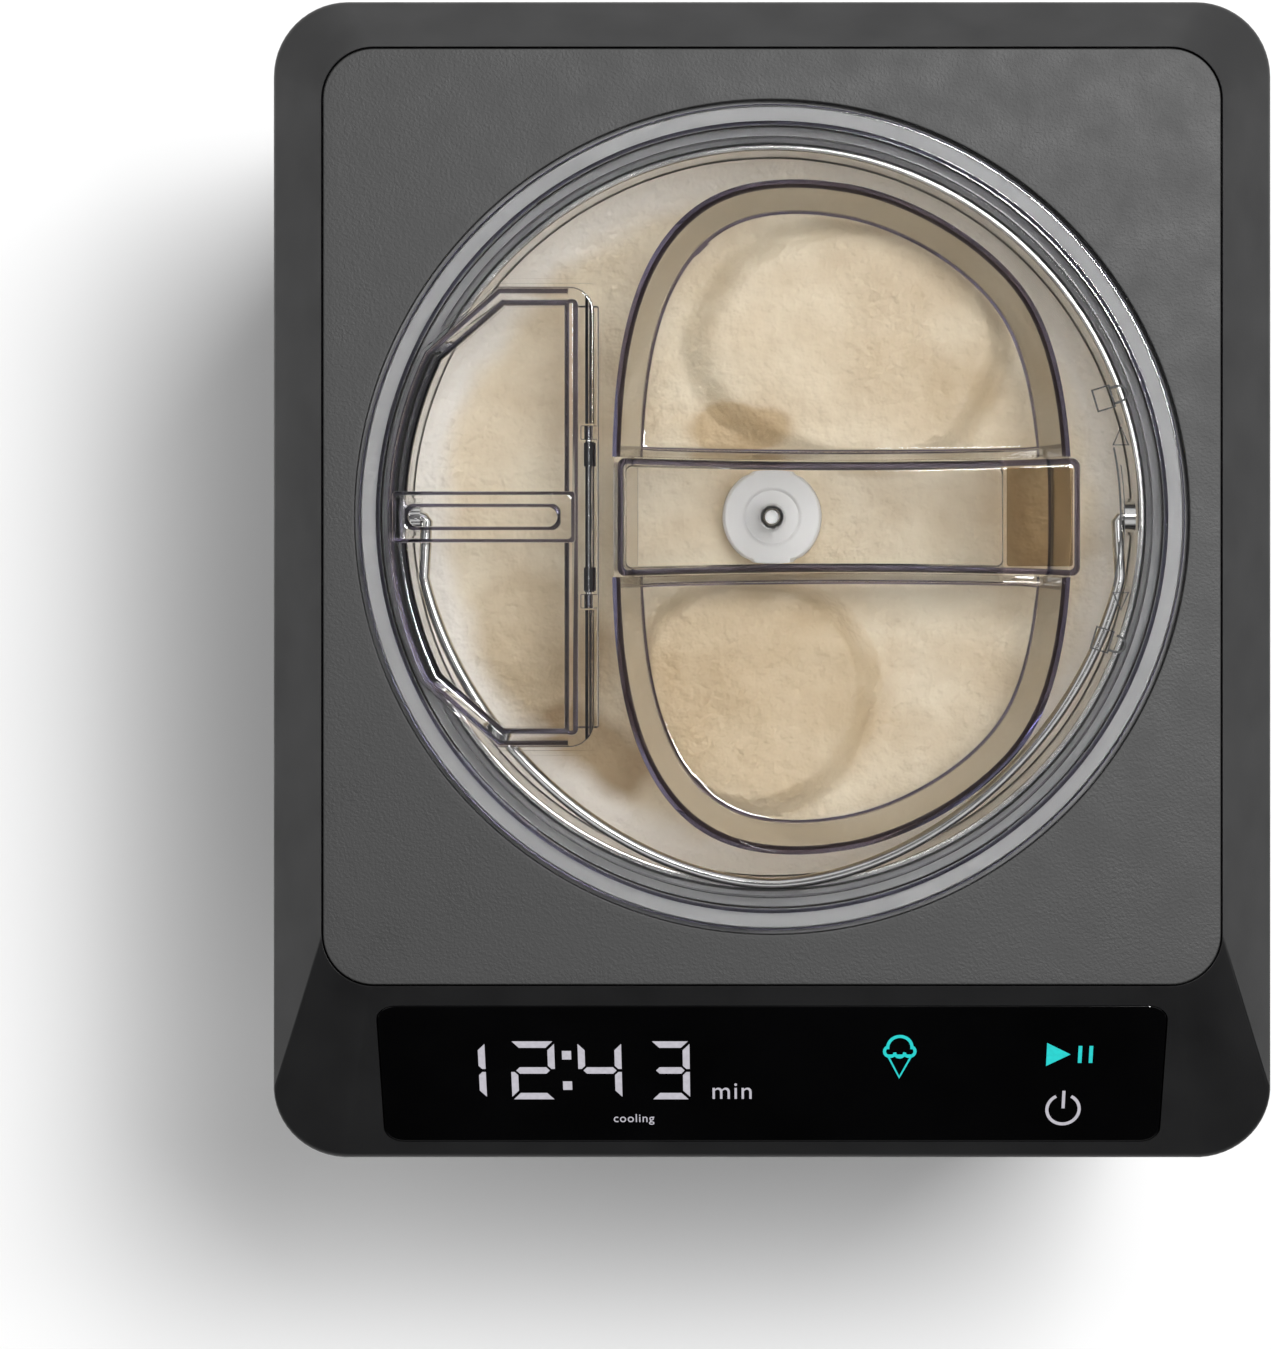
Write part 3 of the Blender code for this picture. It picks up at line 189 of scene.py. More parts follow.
def make_world():
    """A soft studio: brightest half way up, darker low down, overhead and in front, and pale where seen."""
    world = bpy.data.worlds.new("studio")
    world.use_nodes = True
    tree = world.node_tree
    parts = add_node(tree, "SeparateXYZ", {"Vector": coordinates(tree, "Generated")}).outputs
    rise = ramp(tree, parts["Z"], [(height, (level, level, level)) for height, level in SKY_LEVELS], "EASE")
    flag = ranged(tree, parts["Y"], FLAG_EDGE, (FLAG_LEVEL, 1.0))
    flagged = add_node(tree, "VectorMath", {0: rise, "Scale": flag}, operation="SCALE").outputs["Vector"]
    seen = add_node(tree, "LightPath").outputs["Is Camera Ray"]
    background = tree.nodes["Background"].inputs
    fill(tree, background["Color"], blend(tree, seen, flagged, BACKDROP))
    background["Strength"].default_value = 1.0
    bpy.context.scene.world = world
    bpy.context.scene.view_settings.view_transform = "Standard"


def make_floor():
    mesh = bpy.data.meshes.new("floor")
    half = FLOOR_HALF
    corners = [(-half, -half, 0), (half, -half, 0), (half, half, 0), (-half, half, 0)]
    mesh.from_pydata(corners, [], [(0, 1, 2, 3)])
    mesh.materials.append(surface("floor_white", (0.86, 0.86, 0.86), (0.90, 0.90, 0.90), (0.7, 0.8), 4.0))
    floor = placed("floor", mesh)


# ---- nodes


def fill(tree, socket, value):
    """Links an input to another node's output, or sets its own value."""
    if isinstance(value, bpy.types.NodeSocket):
        tree.links.new(value, socket)
    else:
        socket.default_value = value


def add_node(tree, kind, inputs=None, **settings):
    """A new shader node with its settings made and its inputs filled."""
    node = tree.nodes.new("ShaderNode" + kind)
    for name, value in settings.items():
        setattr(node, name, value)
    for key, value in (inputs or {}).items():
        fill(tree, node.inputs[key], value)
    return node


def coordinates(tree, output="Object"):
    return add_node(tree, "TexCoord").outputs[output]


def ramp(tree, share, stops, interpolation="LINEAR"):
    """A colour ramp along share, through stops of a position and a colour."""
    node = add_node(tree, "ValToRGB", {"Fac": share})
    node.color_ramp.interpolation = interpolation
    elements = node.color_ramp.elements
    elements[1].position = stops[-1][0]
    elements[0].position = stops[0][0]
    for position, colour in stops[1:-1]:
        elements.new(position).color = (*colour, 1.0)
    elements[0].color = (*stops[0][1], 1.0)
    elements[-1].color = (*stops[-1][1], 1.0)
    return node.outputs["Color"]


def ranged(tree, value, start, end=(0.0, 1.0), interpolation="SMOOTHSTEP"):
    """Value taken from the start range to the end range."""
    inputs = {"Value": value, "From Min": start[0], "From Max": start[1], "To Min": end[0], "To Max": end[1]}
    return add_node(tree, "MapRange", inputs, interpolation_type=interpolation).outputs["Result"]


def vector_math(tree, operation, *values):
    node = add_node(tree, "VectorMath", dict(enumerate(values)), operation=operation)
    return node.outputs["Value" if operation == "LENGTH" else "Vector"]


def blend(tree, share, first, second):
    """A colour that goes from first to second with share."""
    node = add_node(tree, "Mix", data_type="RGBA")
    sockets = {socket.identifier: socket for socket in node.inputs}
    for key, value in (("Factor_Float", share), ("A_Color", first), ("B_Color", second)):
        fill(tree, sockets[key], value)
    return next(socket for socket in node.outputs if socket.identifier == "Result_Color")


# ---- materials


def surface(name, low, high, rough, scale, grain=None, settings=None, stretch=(1.0, 1.0, 1.0), detail=3.0):
    """A procedural finish: colour and roughness wander with one noise, and a finer one gives the grain.

    grain holds the strength, scale and depth of the finer noise, and settings the shader's other inputs.
    """
    material = bpy.data.materials.new(name)
    material.use_nodes = True
    tree = material.node_tree
    inputs = tree.nodes["Principled BSDF"].inputs
    place = add_node(tree, "Mapping", {"Scale": stretch, "Vector": coordinates(tree)}).outputs["Vector"]
    cloud = add_node(tree, "TexNoise", {"Scale": scale, "Detail": detail, "Vector": place}).outputs["Fac"]
    fill(tree, inputs["Base Color"], ramp(tree, cloud, ((0.32, low), (0.68, high))))
    fill(tree, inputs["Roughness"], ranged(tree, cloud, (0.3, 0.7), rough, "LINEAR"))
    for socket, value in (settings or {}).items():
        inputs[socket].default_value = value
    if grain:
        strength, size, depth = grain
        fine = add_node(tree, "TexNoise", {"Scale": size, "Detail": 2.0, "Vector": place}).outputs["Fac"]
        raised = add_node(tree, "Bump", {"Strength": strength, "Distance": depth, "Height": fine})
        fill(tree, inputs["Normal"], raised.outputs["Normal"])
    return material


def lit(name, colour, strength):
    """A backlit mark behind the black glass, very slightly uneven."""
    material = surface(name, tuple(0.86 * c for c in colour), colour, (0.4, 0.5), 900.0)
    tree = material.node_tree
    inputs = tree.nodes["Principled BSDF"].inputs
    link = inputs["Base Color"].links[0]
    fill(tree, inputs["Emission Color"], link.from_socket)
    tree.links.remove(link)
    inputs["Base Color"].default_value = (0.02, 0.02, 0.02, 1.0)
    inputs["Emission Strength"].default_value = strength
    inputs["Specular IOR Level"].default_value = 0.0
    return material


def clear_plastic(name, level, lean, lean_transmission, edge):
    """Clear plastic with painted shade: dark on its rounded edges, and lighter on its leaning walls, which
    pass less light.
    """
    flat = (level, level, level)
    dim = tuple(0.99 * c for c in flat)
    material = surface(name, dim, flat, (0.0, 0.012), 60.0, settings={"IOR": PLASTIC_IOR})
    tree = material.node_tree
    inputs = tree.nodes["Principled BSDF"].inputs
    parts = add_node(tree, "SeparateXYZ", {"Vector": coordinates(tree, "Normal")})
    steep = add_node(tree, "Math", {0: parts.outputs["Z"]}, operation="ABSOLUTE").outputs["Value"]
    # Painted shade by steepness: flat faces keep their colour, leaning walls take the lean tint, edges the
    # dark edge colour
    shade = ramp(tree, steep, ((0.0, flat), (0.12, flat), (0.17, lean), (0.30, lean), (0.36, edge),
                               (0.965, edge), (0.992, WHITE)))
    whole = inputs["Base Color"].links[0].from_socket
    fill(tree, inputs["Base Color"], vector_math(tree, "MULTIPLY", whole, shade))
    # Leaning walls pass less light, so their painted shade shows
    shares = ((0.0, 1.0), (0.12, 1.0), (0.17, lean_transmission), (0.30, lean_transmission), (0.40, 1.0), (1.0, 1.0))
    passed = ramp(tree, steep, [(tilt, (share, share, share)) for tilt, share in shares])
    fill(tree, inputs["Transmission Weight"], passed)
    return material


# Of each finish: material's name, darker and lighter colour, roughness range, size of clouds, grain, settings
SURFACES = {
    "collar": ("dark_satin", (0.0035, 0.0035, 0.0039), (0.0050, 0.0050, 0.0054), (0.42, 0.50), 60.0,
               (0.25, 2600.0, 0.00006), {"Specular IOR Level": 0.32}),
    "deck": ("deck_grain", (0.022, 0.022, 0.022), (0.026, 0.026, 0.026), (0.46, 0.54), 90.0,
             (0.55, 1700.0, 0.00012), {"Specular IOR Level": 0.34}),
    "casing": ("painted_sheet", (0.030, 0.030, 0.032), (0.036, 0.036, 0.038), (0.34, 0.42), 50.0,
               (0.12, 1500.0, 0.00005)),
    "black": ("black_moulded", (0.012, 0.012, 0.013), (0.018, 0.018, 0.019), (0.45, 0.55), 80.0,
              (0.2, 1800.0, 0.00006)),
    "ring": ("ring_dark", (0.085, 0.085, 0.087), (0.110, 0.110, 0.112), (0.25, 0.35), 70.0,
             (0.1, 1500.0, 0.00004)),
    "rubber": ("black_rubber_fine", (0.010, 0.010, 0.010), (0.016, 0.016, 0.016), (0.6, 0.75), 90.0,
               (0.3, 1300.0, 0.00008)),
    "silicone": ("silicone_grey", (0.34, 0.34, 0.34), (0.40, 0.40, 0.40), (0.40, 0.50), 50.0,
                 (0.1, 900.0, 0.00005)),
    "glass": ("panel_gloss", (0.0010, 0.0010, 0.0011), (0.0016, 0.0016, 0.0018), (0.06, 0.10), 40.0,
              None, {"Specular IOR Level": 0.30}),
    # Painted shade: the brown-tinted sheet over the handle bar's right end
    "tint": ("bar_painted_shade", (0.52, 0.43, 0.31), (0.60, 0.50, 0.37), (0.02, 0.05), 60.0,
             None, {"Transmission Weight": 1.0, "IOR": PLASTIC_IOR}),
    "mark": ("frosted_mark", (0.05, 0.05, 0.05), (0.08, 0.08, 0.08), (0.60, 0.70), 800.0,
             (0.1, 2000.0, 0.00003), {"Specular IOR Level": 0.1}),
    "white": ("white_moulded", (0.93, 0.92, 0.90), (0.97, 0.96, 0.94), (0.30, 0.38), 60.0,
              (0.08, 1200.0, 0.00005)),
    "steel": ("spun_steel", (0.76, 0.75, 0.73), (0.86, 0.85, 0.83), (0.16, 0.26), 50.0,
              (0.1, 900.0, 0.00004), {"Metallic": 1.0}, (1.0, 1.0, 30.0)),
    "bright": ("plated_wire", (0.78, 0.78, 0.77), (0.86, 0.86, 0.85), (0.08, 0.16), 120.0,
               (0.05, 900.0, 0.00003), {"Metallic": 1.0}),
    "pin": ("satin_pin", (0.86, 0.86, 0.85), (0.92, 0.92, 0.91), (0.50, 0.60), 120.0,
            (0.05, 900.0, 0.00003), {"Metallic": 0.3}),
    "aluminium": ("drawn_aluminium", (0.50, 0.50, 0.51), (0.60, 0.60, 0.61), (0.28, 0.40), 60.0,
                  (0.1, 700.0, 0.00005), {"Metallic": 1.0}, (1.0, 1.0, 12.0)),
    "copper": ("drawn_copper", (0.62, 0.26, 0.14), (0.78, 0.36, 0.22), (0.25, 0.42), 90.0,
               (0.1, 500.0, 0.00005), {"Metallic": 1.0}),
    "brass": ("turned_brass", (0.62, 0.44, 0.18), (0.74, 0.54, 0.24), (0.22, 0.34), 90.0,
              (0.1, 600.0, 0.00004), {"Metallic": 1.0}),
    "enamel": ("compressor_enamel", (0.012, 0.012, 0.013), (0.024, 0.024, 0.025), (0.25, 0.4), 30.0,
               (0.2, 400.0, 0.0001)),
    "foam": ("foam_cells", (0.66, 0.61, 0.46), (0.78, 0.73, 0.58), (0.85, 0.95), 220.0,
             (0.6, 900.0, 0.0005)),
    "board": ("board_green", (0.010, 0.070, 0.030), (0.020, 0.110, 0.050), (0.30, 0.45), 500.0,
              (0.2, 1500.0, 0.00005)),
}


def make_cream_finish():
    """Vanilla cream: a crystalline grain, painted shade and light in places, and paler cream against the
    bowl's wall, partly painted light.
    """
    material = surface("vanilla_cream", (0.70, 0.57, 0.39), (0.90, 0.80, 0.62), (0.42, 0.60), 46.0,
                       (0.9, 330.0, 0.0009), {"Specular IOR Level": 0.35}, detail=6.0)
    tree = material.node_tree
    base = tree.nodes["Principled BSDF"].inputs["Base Color"]
    where = coordinates(tree)
    ragged = add_node(tree, "TexNoise", {"Scale": 60.0, "Vector": where}).outputs["Color"]
    stray = vector_math(tree, "MULTIPLY_ADD", ragged, (CREAM_STRAY, CREAM_STRAY, 0.0), where)
    mean = CREAM_STRAY / 2
    colour = base.links[0].from_socket
    # Each patch multiplies the colour by its share: below one it is painted shade, above one painted light
    for (x, y), half, share in CREAM_PAINTED_SHADE_AND_LIGHT:
        inputs = {"Location": (x + mean, AXIS_Y + y + mean, 0.0), "Scale": (*half, 100.0), "Vector": stray}
        place = add_node(tree, "Mapping", inputs, vector_type="TEXTURE").outputs["Vector"]
        fade = ranged(tree, vector_math(tree, "LENGTH", place), (0.72, 1.06))
        shade = ramp(tree, fade, ((0.0, share), (1.0, WHITE)))
        colour = vector_math(tree, "MULTIPLY", colour, shade)
    # Paler towards the bowl's wall: partly smeared cream, partly painted light against the shade of the
    # bowl's rim
    flat = vector_math(tree, "MULTIPLY_ADD", stray, (1.0, 1.0, 0.0), (-mean, -mean - AXIS_Y, 0.0))
    outer = ranged(tree, vector_math(tree, "LENGTH", flat), CREAM_RIM)
    fill(tree, base, blend(tree, outer, colour, (*CREAM_RIM_COLOUR, 1.0)))
    return material


def make_finishes():
    finishes = {key: surface(*values) for key, values in SURFACES.items()}
    # The lid and the flap, with painted shade on their edges and leaning walls
    finishes["clear"] = clear_plastic("clear_moulding", 0.985, (0.82, 0.71, 0.54), 0.66, (0.04, 0.035, 0.09))
    finishes["clear_flap"] = clear_plastic("clear_flap", 0.98, (0.80, 0.78, 0.76), 0.90, (0.02, 0.017, 0.035))
    finishes["digit"] = lit("digit_light", (0.60, 0.58, 0.64), 0.92)
    finishes["cyan"] = lit("icon_light", (0.010, 0.68, 0.66), 1.0)
    finishes["cream"] = make_cream_finish()
    return finishes


# ---- shapes


def flat_loop(outline, height):
    return [Vector((x, y, height)) for x, y in outline]


def circle(radius, sides=SIDES, centre=(0.0, 0.0)):
    turn = math.tau / sides
    return [(centre[0] + radius * math.cos(turn * i), centre[1] + radius * math.sin(turn * i))
            for i in range(sides)]


def rounded_rectangle(low, high, radius, steps=14):
    middles = ((high[0] - radius, low[1] + radius), (high[0] - radius, high[1] - radius),
               (low[0] + radius, high[1] - radius), (low[0] + radius, low[1] + radius))
    outline = []
    for corner, (x, y) in enumerate(middles):
        for step in range(steps + 1):
            angle = math.pi / 2 * (corner - 1 + step / steps)
            outline.append((x + radius * math.cos(angle), y + radius * math.sin(angle)))
    return outline


def soft(loops, sizes, steps=3):
    """Rounds a loft's edges: each loop that has a size becomes a short curve of loops."""
    result = []
    count = len(loops)
    for i, (loop, size) in enumerate(zip(loops, sizes)):
        if not size:
            result.append(loop)
            continue
        rows = [[] for _ in range(steps + 1)]
        for corner, low, high in zip(loop, loops[i - 1], loops[(i + 1) % count]):
            start = corner + (low - corner).normalized() * size
            end = corner + (high - corner).normalized() * size
            for step, row in enumerate(rows):
                t = step / steps
                row.append(start * (1 - t) ** 2 + corner * 2 * t * (1 - t) + end * t ** 2)
        result += rows
    return result


def loft(loops, ring=False):
    """Skin through loops of equal length, joined end to end as a ring or capped at both ends."""
    bm = bmesh.new()
    rows = [[bm.verts.new(point) for point in loop] for loop in loops]
    count = len(loops[0])
    pairs = list(zip(rows, rows[1:]))
    if ring:
        pairs.append((rows[-1], rows[0]))
    for lower, upper in pairs:
        for i in range(count):
            after = (i + 1) % count
            bm.faces.new((lower[i], lower[after], upper[after], upper[i]))
    if not ring:
        bm.faces.new(list(reversed(rows[0])))
        bm.faces.new(rows[-1])
    bmesh.ops.recalc_face_normals(bm, faces=bm.faces)
    return bm


def stacked(levels, ring=False, steps=3):
    """Skin through levels of an outline, its height and the size of the edge there."""
    loops = [flat_loop(outline, z) for outline, z, _ in levels]
    return loft(soft(loops, [size for _, _, size in levels], steps), ring)


def prism(outline, low, high, size=0.0):
    """A flat shape with its upper and lower edges rounded by size."""
    if not size:
        return loft([flat_loop(outline, low), flat_loop(outline, high)])
    middle = sum((Vector(p) for p in outline), Vector((0, 0))) / len(outline)
    near = [tuple(middle + (Vector(p) - middle) * 0.9) for p in outline]
    return stacked([(near, low, 0), (outline, low, size), (outline, high, size), (near, high, 0)], steps=2)


def turned(profile, sides=SIDES, centre=(0.0, AXIS_Y), ring=True):
    """A profile of (radius, height, edge size) turned about an upright axis."""
    return stacked([(circle(r, sides, centre), z, size) for r, z, size in profile], ring)


def rod(radius, low, high, sides, centre=(0.0, 0.0)):
    return turned([(radius, low, 0), (radius, high, 0)], sides, centre, ring=False)


def soft_box(low, high, size=0.0, segments=2):
    """A box with its edges rounded by size."""
    bm = bmesh.new()
    middle = (Vector(low) + Vector(high)) / 2
    span = Vector(high) - Vector(low)
    bmesh.ops.create_cube(bm, size=1.0, matrix=Matrix.Translation(middle) @ Matrix.Diagonal((*span, 1.0)))
    if size:
        bmesh.ops.bevel(bm, geom=bm.edges[:], offset=size, segments=segments, affect="EDGES", profile=0.5)
    return bm


def axis_box(low, high, size=0.0, segments=2):
    """A box whose Y is measured from the main axis."""
    return soft_box((low[0], AXIS_Y + low[1], low[2]), (high[0], AXIS_Y + high[1], high[2]), size,
                    segments)


def merged(*shapes):
    """Puts separate shapes into one mesh."""
    whole = bmesh.new()
    for shape in shapes:
        mesh = mesh_of(shape, "part")
        whole.from_mesh(mesh)
        bpy.data.meshes.remove(mesh)
    return whole


def heading(path, i, closed):
    """The direction in which a path runs at its point i."""
    before = path[i - 1] if closed or i else path[0]
    after = path[(i + 1) % len(path)] if closed else path[min(i + 1, len(path) - 1)]
    return (after - before).normalized()


def sweep(points, radius, sides=16):
    """A round wire along points, turning as little as it can."""
    loops = []
    side = None
    for i, point in enumerate(points):
        forward = heading(points, i, False)
        if side is None:
            other = Vector((0, 0, 1)) if abs(forward.z) < 0.9 else Vector((1, 0, 0))
            side = forward.cross(other)
        side = (side - forward * side.dot(forward)).normalized()
        up = forward.cross(side)
        loops.append([point + radius * (side * math.cos(math.tau * k / sides)
                                        + up * math.sin(math.tau * k / sides)) for k in range(sides)])
    return loft(loops)


def band(path, width, low, high, closed=False):
    """A flat line of constant width drawn along 2-D points, between two heights."""
    points = [Vector(p) for p in path]
    sections = []
    for i, point in enumerate(points):
        forward = heading(points, i, closed)
        side = Vector((-forward.y, forward.x)) * width / 2
        left, right = point + side, point - side
        sections.append([Vector((*left, low)), Vector((*right, low)), Vector((*right, high)),
                         Vector((*left, high))])
    return loft(sections, ring=closed)


def arc(centre, radius, start, end, count):
    angles = [math.radians(start + (end - start) * i / count) for i in range(count + 1)]
    return [(centre[0] + radius * math.cos(a), centre[1] + radius * math.sin(a)) for a in angles]


def moved(bm, matrix):
    bmesh.ops.transform(bm, matrix=matrix, verts=bm.verts)
    return bm


def at(place, degrees=0, axis="Z"):
    """The matrix that turns a shape about an axis and then takes it to a place."""
    return Matrix.Translation(place) @ Matrix.Rotation(math.radians(degrees), 4, axis)


def turn_to_y(bm, middle):
    """Lays a shape built about +Z down so that its axis points along +Y through middle."""
    return moved(bm, at(middle, -90, "X"))


def mesh_of(bm, name):
    mesh = bpy.data.meshes.new(name)
    bm.to_mesh(mesh)
    bm.free()
    return mesh


def cut(shape):
    return "DIFFERENCE", shape


def fused(shape):
    return "UNION", shape


def joined(bm, *steps):
    """Applies Boolean steps, each ("UNION" or "DIFFERENCE", bmesh), and gives the resulting bmesh."""
    body = placed("work", mesh_of(bm, "work"))
    for operation, other in steps:
        tool = placed("tool", mesh_of(other, "tool"))
        change = body.modifiers.new("change", "BOOLEAN")
        change.operation = operation
        change.object = tool
        graph = bpy.context.evaluated_depsgraph_get()
        result = bpy.data.meshes.new_from_object(body.evaluated_get(graph))
        body.modifiers.remove(change)
        body.data = result
        bpy.data.objects.remove(tool)
    done = bmesh.new()
    done.from_mesh(body.data)
    bpy.data.objects.remove(body)
    bmesh.ops.remove_doubles(done, verts=done.verts, dist=1e-6)
    bmesh.ops.dissolve_degenerate(done, edges=done.edges, dist=1e-6)
    return done


def add_piece(name, bm, finish, body, replaces=None, angle=32.0):
    """Makes the named piece, smooth except at sharp edges, with its finish, ties it to its body, and hides
    the CAD node that it replaces.
    """
    mesh = mesh_of(bm, name)
    mesh.shade_smooth()
    mesh.set_sharp_from_angle(angle=math.radians(angle))
    mesh.materials.append(FINISHES[finish])
    piece = placed(name, mesh)
    even = piece.modifiers.new("even", "WEIGHTED_NORMAL")
    even.keep_sharp = True
    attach(piece, body)
    if replaces:
        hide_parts(replaces)


# ---- collar, deck and casing


def body_outline(inset=0.0):
    return rounded_rectangle((inset - BODY_X, inset - BODY_Y), (BODY_X - inset, BODY_Y - inset),
                             BODY_CORNER - inset)


def edge_heights(outline, side_z, front_z):
    """The collar's lower edge: level at the sides and back, and falling round the front corners."""
    edge = -BODY_Y + BODY_CORNER
    points = []
    for x, y in outline:
        fall = 0.0
        if y < edge:
            fall = math.atan2(edge - y, max(abs(x) - BODY_X + BODY_CORNER, 1e-9)) / (math.pi / 2)
        points.append(Vector((x, y, side_z + (front_z - side_z) * min(fall, 1.0))))
    return points


def slope_frame():
    """Top, down-slope and outward directions of the front slope."""
    top = Vector((0, DECK_FRONT - DECK_GAP, DECK_Z))
    foot = Vector((0, -BODY_Y, FRONT_EDGE_Z))
    down = (foot - top).normalized()
    return top, down, Vector((0, down.z, -down.y)).normalized()


def slope_slab(half_x, down_low, down_high, out_low, out_high, radius, size=0.0):
    """A slab lying in the front slope, between two distances down it and two heights over it."""
    top, down, outward = slope_frame()

    def ring(inset, out):
        low = (-half_x + inset, -down_high + inset)
        high = (half_x - inset, -down_low - inset)
        outline = rounded_rectangle(low, high, max(radius - inset, 0.0002), 8)
        return [top + Vector((x, 0, 0)) - down * y + outward * out for x, y in outline]

    loops = [ring(0, out_low), ring(0, out_high), ring(0.002, out_high)]
    return loft(soft(loops, (0, size, 0)))


def deck_outline(outset, front):
    return rounded_rectangle((-DECK_X - outset, DECK_FRONT - front), (DECK_X + outset, DECK_BACK + outset),
                             DECK_CORNER + outset)


def make_collar():
    body = body_outline()
    inside = body_outline(WALL)
    ledge_z = DECK_Z - DECK_THICK - 0.0003
    under_edge = edge_heights(body, SIDE_EDGE_Z - 0.0007, FRONT_EDGE_Z - 0.0012)
    inner_top = [Vector((x, y, p.z)) for (x, y), p in zip(inside, under_edge)]
    seat = deck_outline(DECK_GAP, DECK_GAP)
    ledge = deck_outline(-0.0046, -0.0046)
    loops = [flat_loop(body, SPLIT_Z + 0.0003), edge_heights(body, SIDE_EDGE_Z, FRONT_EDGE_Z),
             flat_loop(seat, DECK_Z), flat_loop(seat, ledge_z), flat_loop(ledge, ledge_z),
             flat_loop(ledge, ledge_z - WALL), flat_loop(deck_outline(0.0010, 0.0037), ledge_z - WALL),
             inner_top, flat_loop(inside, SPLIT_Z + 0.0003)]
    sizes = (0.0003, 0.0016, 0.0003, 0, 0, 0, 0, 0, 0)
    window = slope_slab(GLASS_HALF_X + 0.0003, GLASS_DOWN[0] - 0.0003, GLASS_DOWN[1] + 0.0003, -0.012, 0.010,
                        0.0048)
    whole = joined(loft(soft(loops, sizes, 4), ring=True), cut(window))
    add_piece("collar", whole, "collar", "housing", "upper_housing")


def make_deck():
    plate = stacked([(deck_outline(0, 0), DECK_Z - DECK_THICK, 0), (deck_outline(0, 0), DECK_Z, 0.0004),
                     (deck_outline(-0.003, -0.003), DECK_Z, 0)])
    hole = turned([(DECK_OPENING, DECK_Z - 0.008, 0), (DECK_OPENING, DECK_Z, 0.0004), (DECK_STEP, DECK_Z, 0),
                   (DECK_STEP, DECK_Z + 0.01, 0)], ring=False)
    add_piece("deck", joined(plate, cut(hole)), "deck", "housing", "top_deck")


def slot_row(left, right, bottom, pitch, count):
    """Outlines of air slots, one above the other."""
    lows = [bottom + pitch * i for i in range(count)]
    return [rounded_rectangle((left, low), (right, low + SLOT_HIGH), SLOT_END, 4) for low in lows]


def make_casing():
    """The sheet wrap with its rows of air slots, open at the back."""
    outer = body_outline()
    inner = body_outline(SHEET)
    half = len(outer) // 2
    outer_path = [(-0.098, BODY_Y), *outer[half:], *outer[:half], (0.098, BODY_Y)]
    inner_path = [(-0.098, BODY_Y - SHEET), *inner[half:], *inner[:half], (0.098, BODY_Y - SHEET)]
    wrap = prism(outer_path + inner_path[::-1], 0.008, SPLIT_Z - 0.0003)
    slots = [cut(loft([[Vector((x, y, z)) for y, z in outline] for x in (-0.13, 0.13)]))
             for outline in slot_row(0.034, 0.112, 0.036, 0.010, 8)]
    add_piece("casing", joined(wrap, *slots), "casing", "housing", "lower_casing")


def upright(outline, y_low, y_high, size=0.0):
    """A plate drawn in X and Z, with its thickness along Y."""
    return turn_to_y(prism([(x, -z) for x, z in outline], y_low, y_high, size), (0, 0, 0))


def make_back_panel():
    x, z = INLET_XZ
    holes = slot_row(0.008, 0.084, 0.032, 0.009, 8) + slot_row(-0.050, 0.050, 0.226, 0.009, 5)
    holes.append(rounded_rectangle((x - 0.0146, z - 0.0106), (x + 0.0146, z + 0.0106), 0.0003, 1))
    outline = rounded_rectangle((-0.0977, 0.0140), (0.0977, 0.2994), 0.003, 6)
    cuts = [cut(upright(hole, 0.130, 0.142)) for hole in holes]
    cuts += [cut(turn_to_y(rod(0.0022, -0.01, 0.01, 16), (sx, BACK_Y, sz))) for sx, sz in SCREW_PLACES]
    plate = joined(upright(outline, BACK_Y - WALL, BACK_Y, 0.0005), *cuts)
    add_piece("back_panel", plate, "black", "housing", "rear_cover")


def make_back_screws():
    for number, (x, z) in enumerate(SCREW_PLACES, 1):
        head = turned([(0.0016, -0.0034, 0), (0.0016, 0.0003, 0), (0.0038, 0.0003, 0.0002),
                       (0.0034, 0.0018, 0.0006), (0.0010, 0.0018, 0)], 24, (0, 0), False)
        blades = [soft_box((-0.0019, -0.0004, 0.0008), (0.0019, 0.0004, 0.003)) for _ in range(2)]
        cross = [cut(moved(blade, at((0, 0, 0), angle))) for blade, angle in zip(blades, (20, 110))]
        screw = turn_to_y(joined(head, *cross), (x, BACK_Y, z))
        add_piece(f"back_screw_{number}", screw, "bright", "housing",
                  f"rear_cover_screw_{number}")


def make_inlet():
    x, z = INLET_XZ
    body = soft_box((x - 0.0143, 0.1120, z - 0.0103), (x + 0.0143, 0.1390, z + 0.0103), 0.0003)
    flange = soft_box((x - 0.0190, 0.1383, z - 0.0140), (x + 0.0190, 0.1396, z + 0.0140), 0.0005)
    mouth = ((-0.0120, -0.0080), (0.0120, -0.0080), (0.0120, 0.0040), (0.0080, 0.0080), (-0.0080, 0.0080),
             (-0.0120, 0.0040))
    cavity = upright([(x + dx, z + dz) for dx, dz in mouth], 0.1230, 0.1450)
    inlet = joined(body, fused(flange), cut(cavity))
    add_piece("mains_inlet", inlet, "black", "housing", "power_inlet")
    pins = [soft_box((x + dx - 0.0010, 0.1226, z + dz - 0.0020), (x + dx + 0.0010, 0.1330, z + dz + 0.0020),
                     0.0003) for dx, dz in ((-0.007, -0.002), (0.0, 0.002), (0.007, -0.002))]
    add_piece("mains_pins", merged(*pins), "bright", "housing")


def make_feet():
    profile = [(0.0040, 0.0006, 0.0002), (0.0046, 0.0, 0.0001), (0.0085, 0.0, 0.0006),
               (0.0095, 0.0014, 0.0006), (0.0098, 0.0050, 0), (0.0105, 0.0097, 0)]
    for depth, y in (("front", -0.112), ("rear", 0.112)):
        for side, x in (("left", -0.094), ("right", 0.094)):
            foot = turned(profile, 40, (x, y), ring=False)
            name = f"foot_{depth}_{side}"
            add_piece("soft_" + name, foot, "rubber", "housing", name)


# ---- display


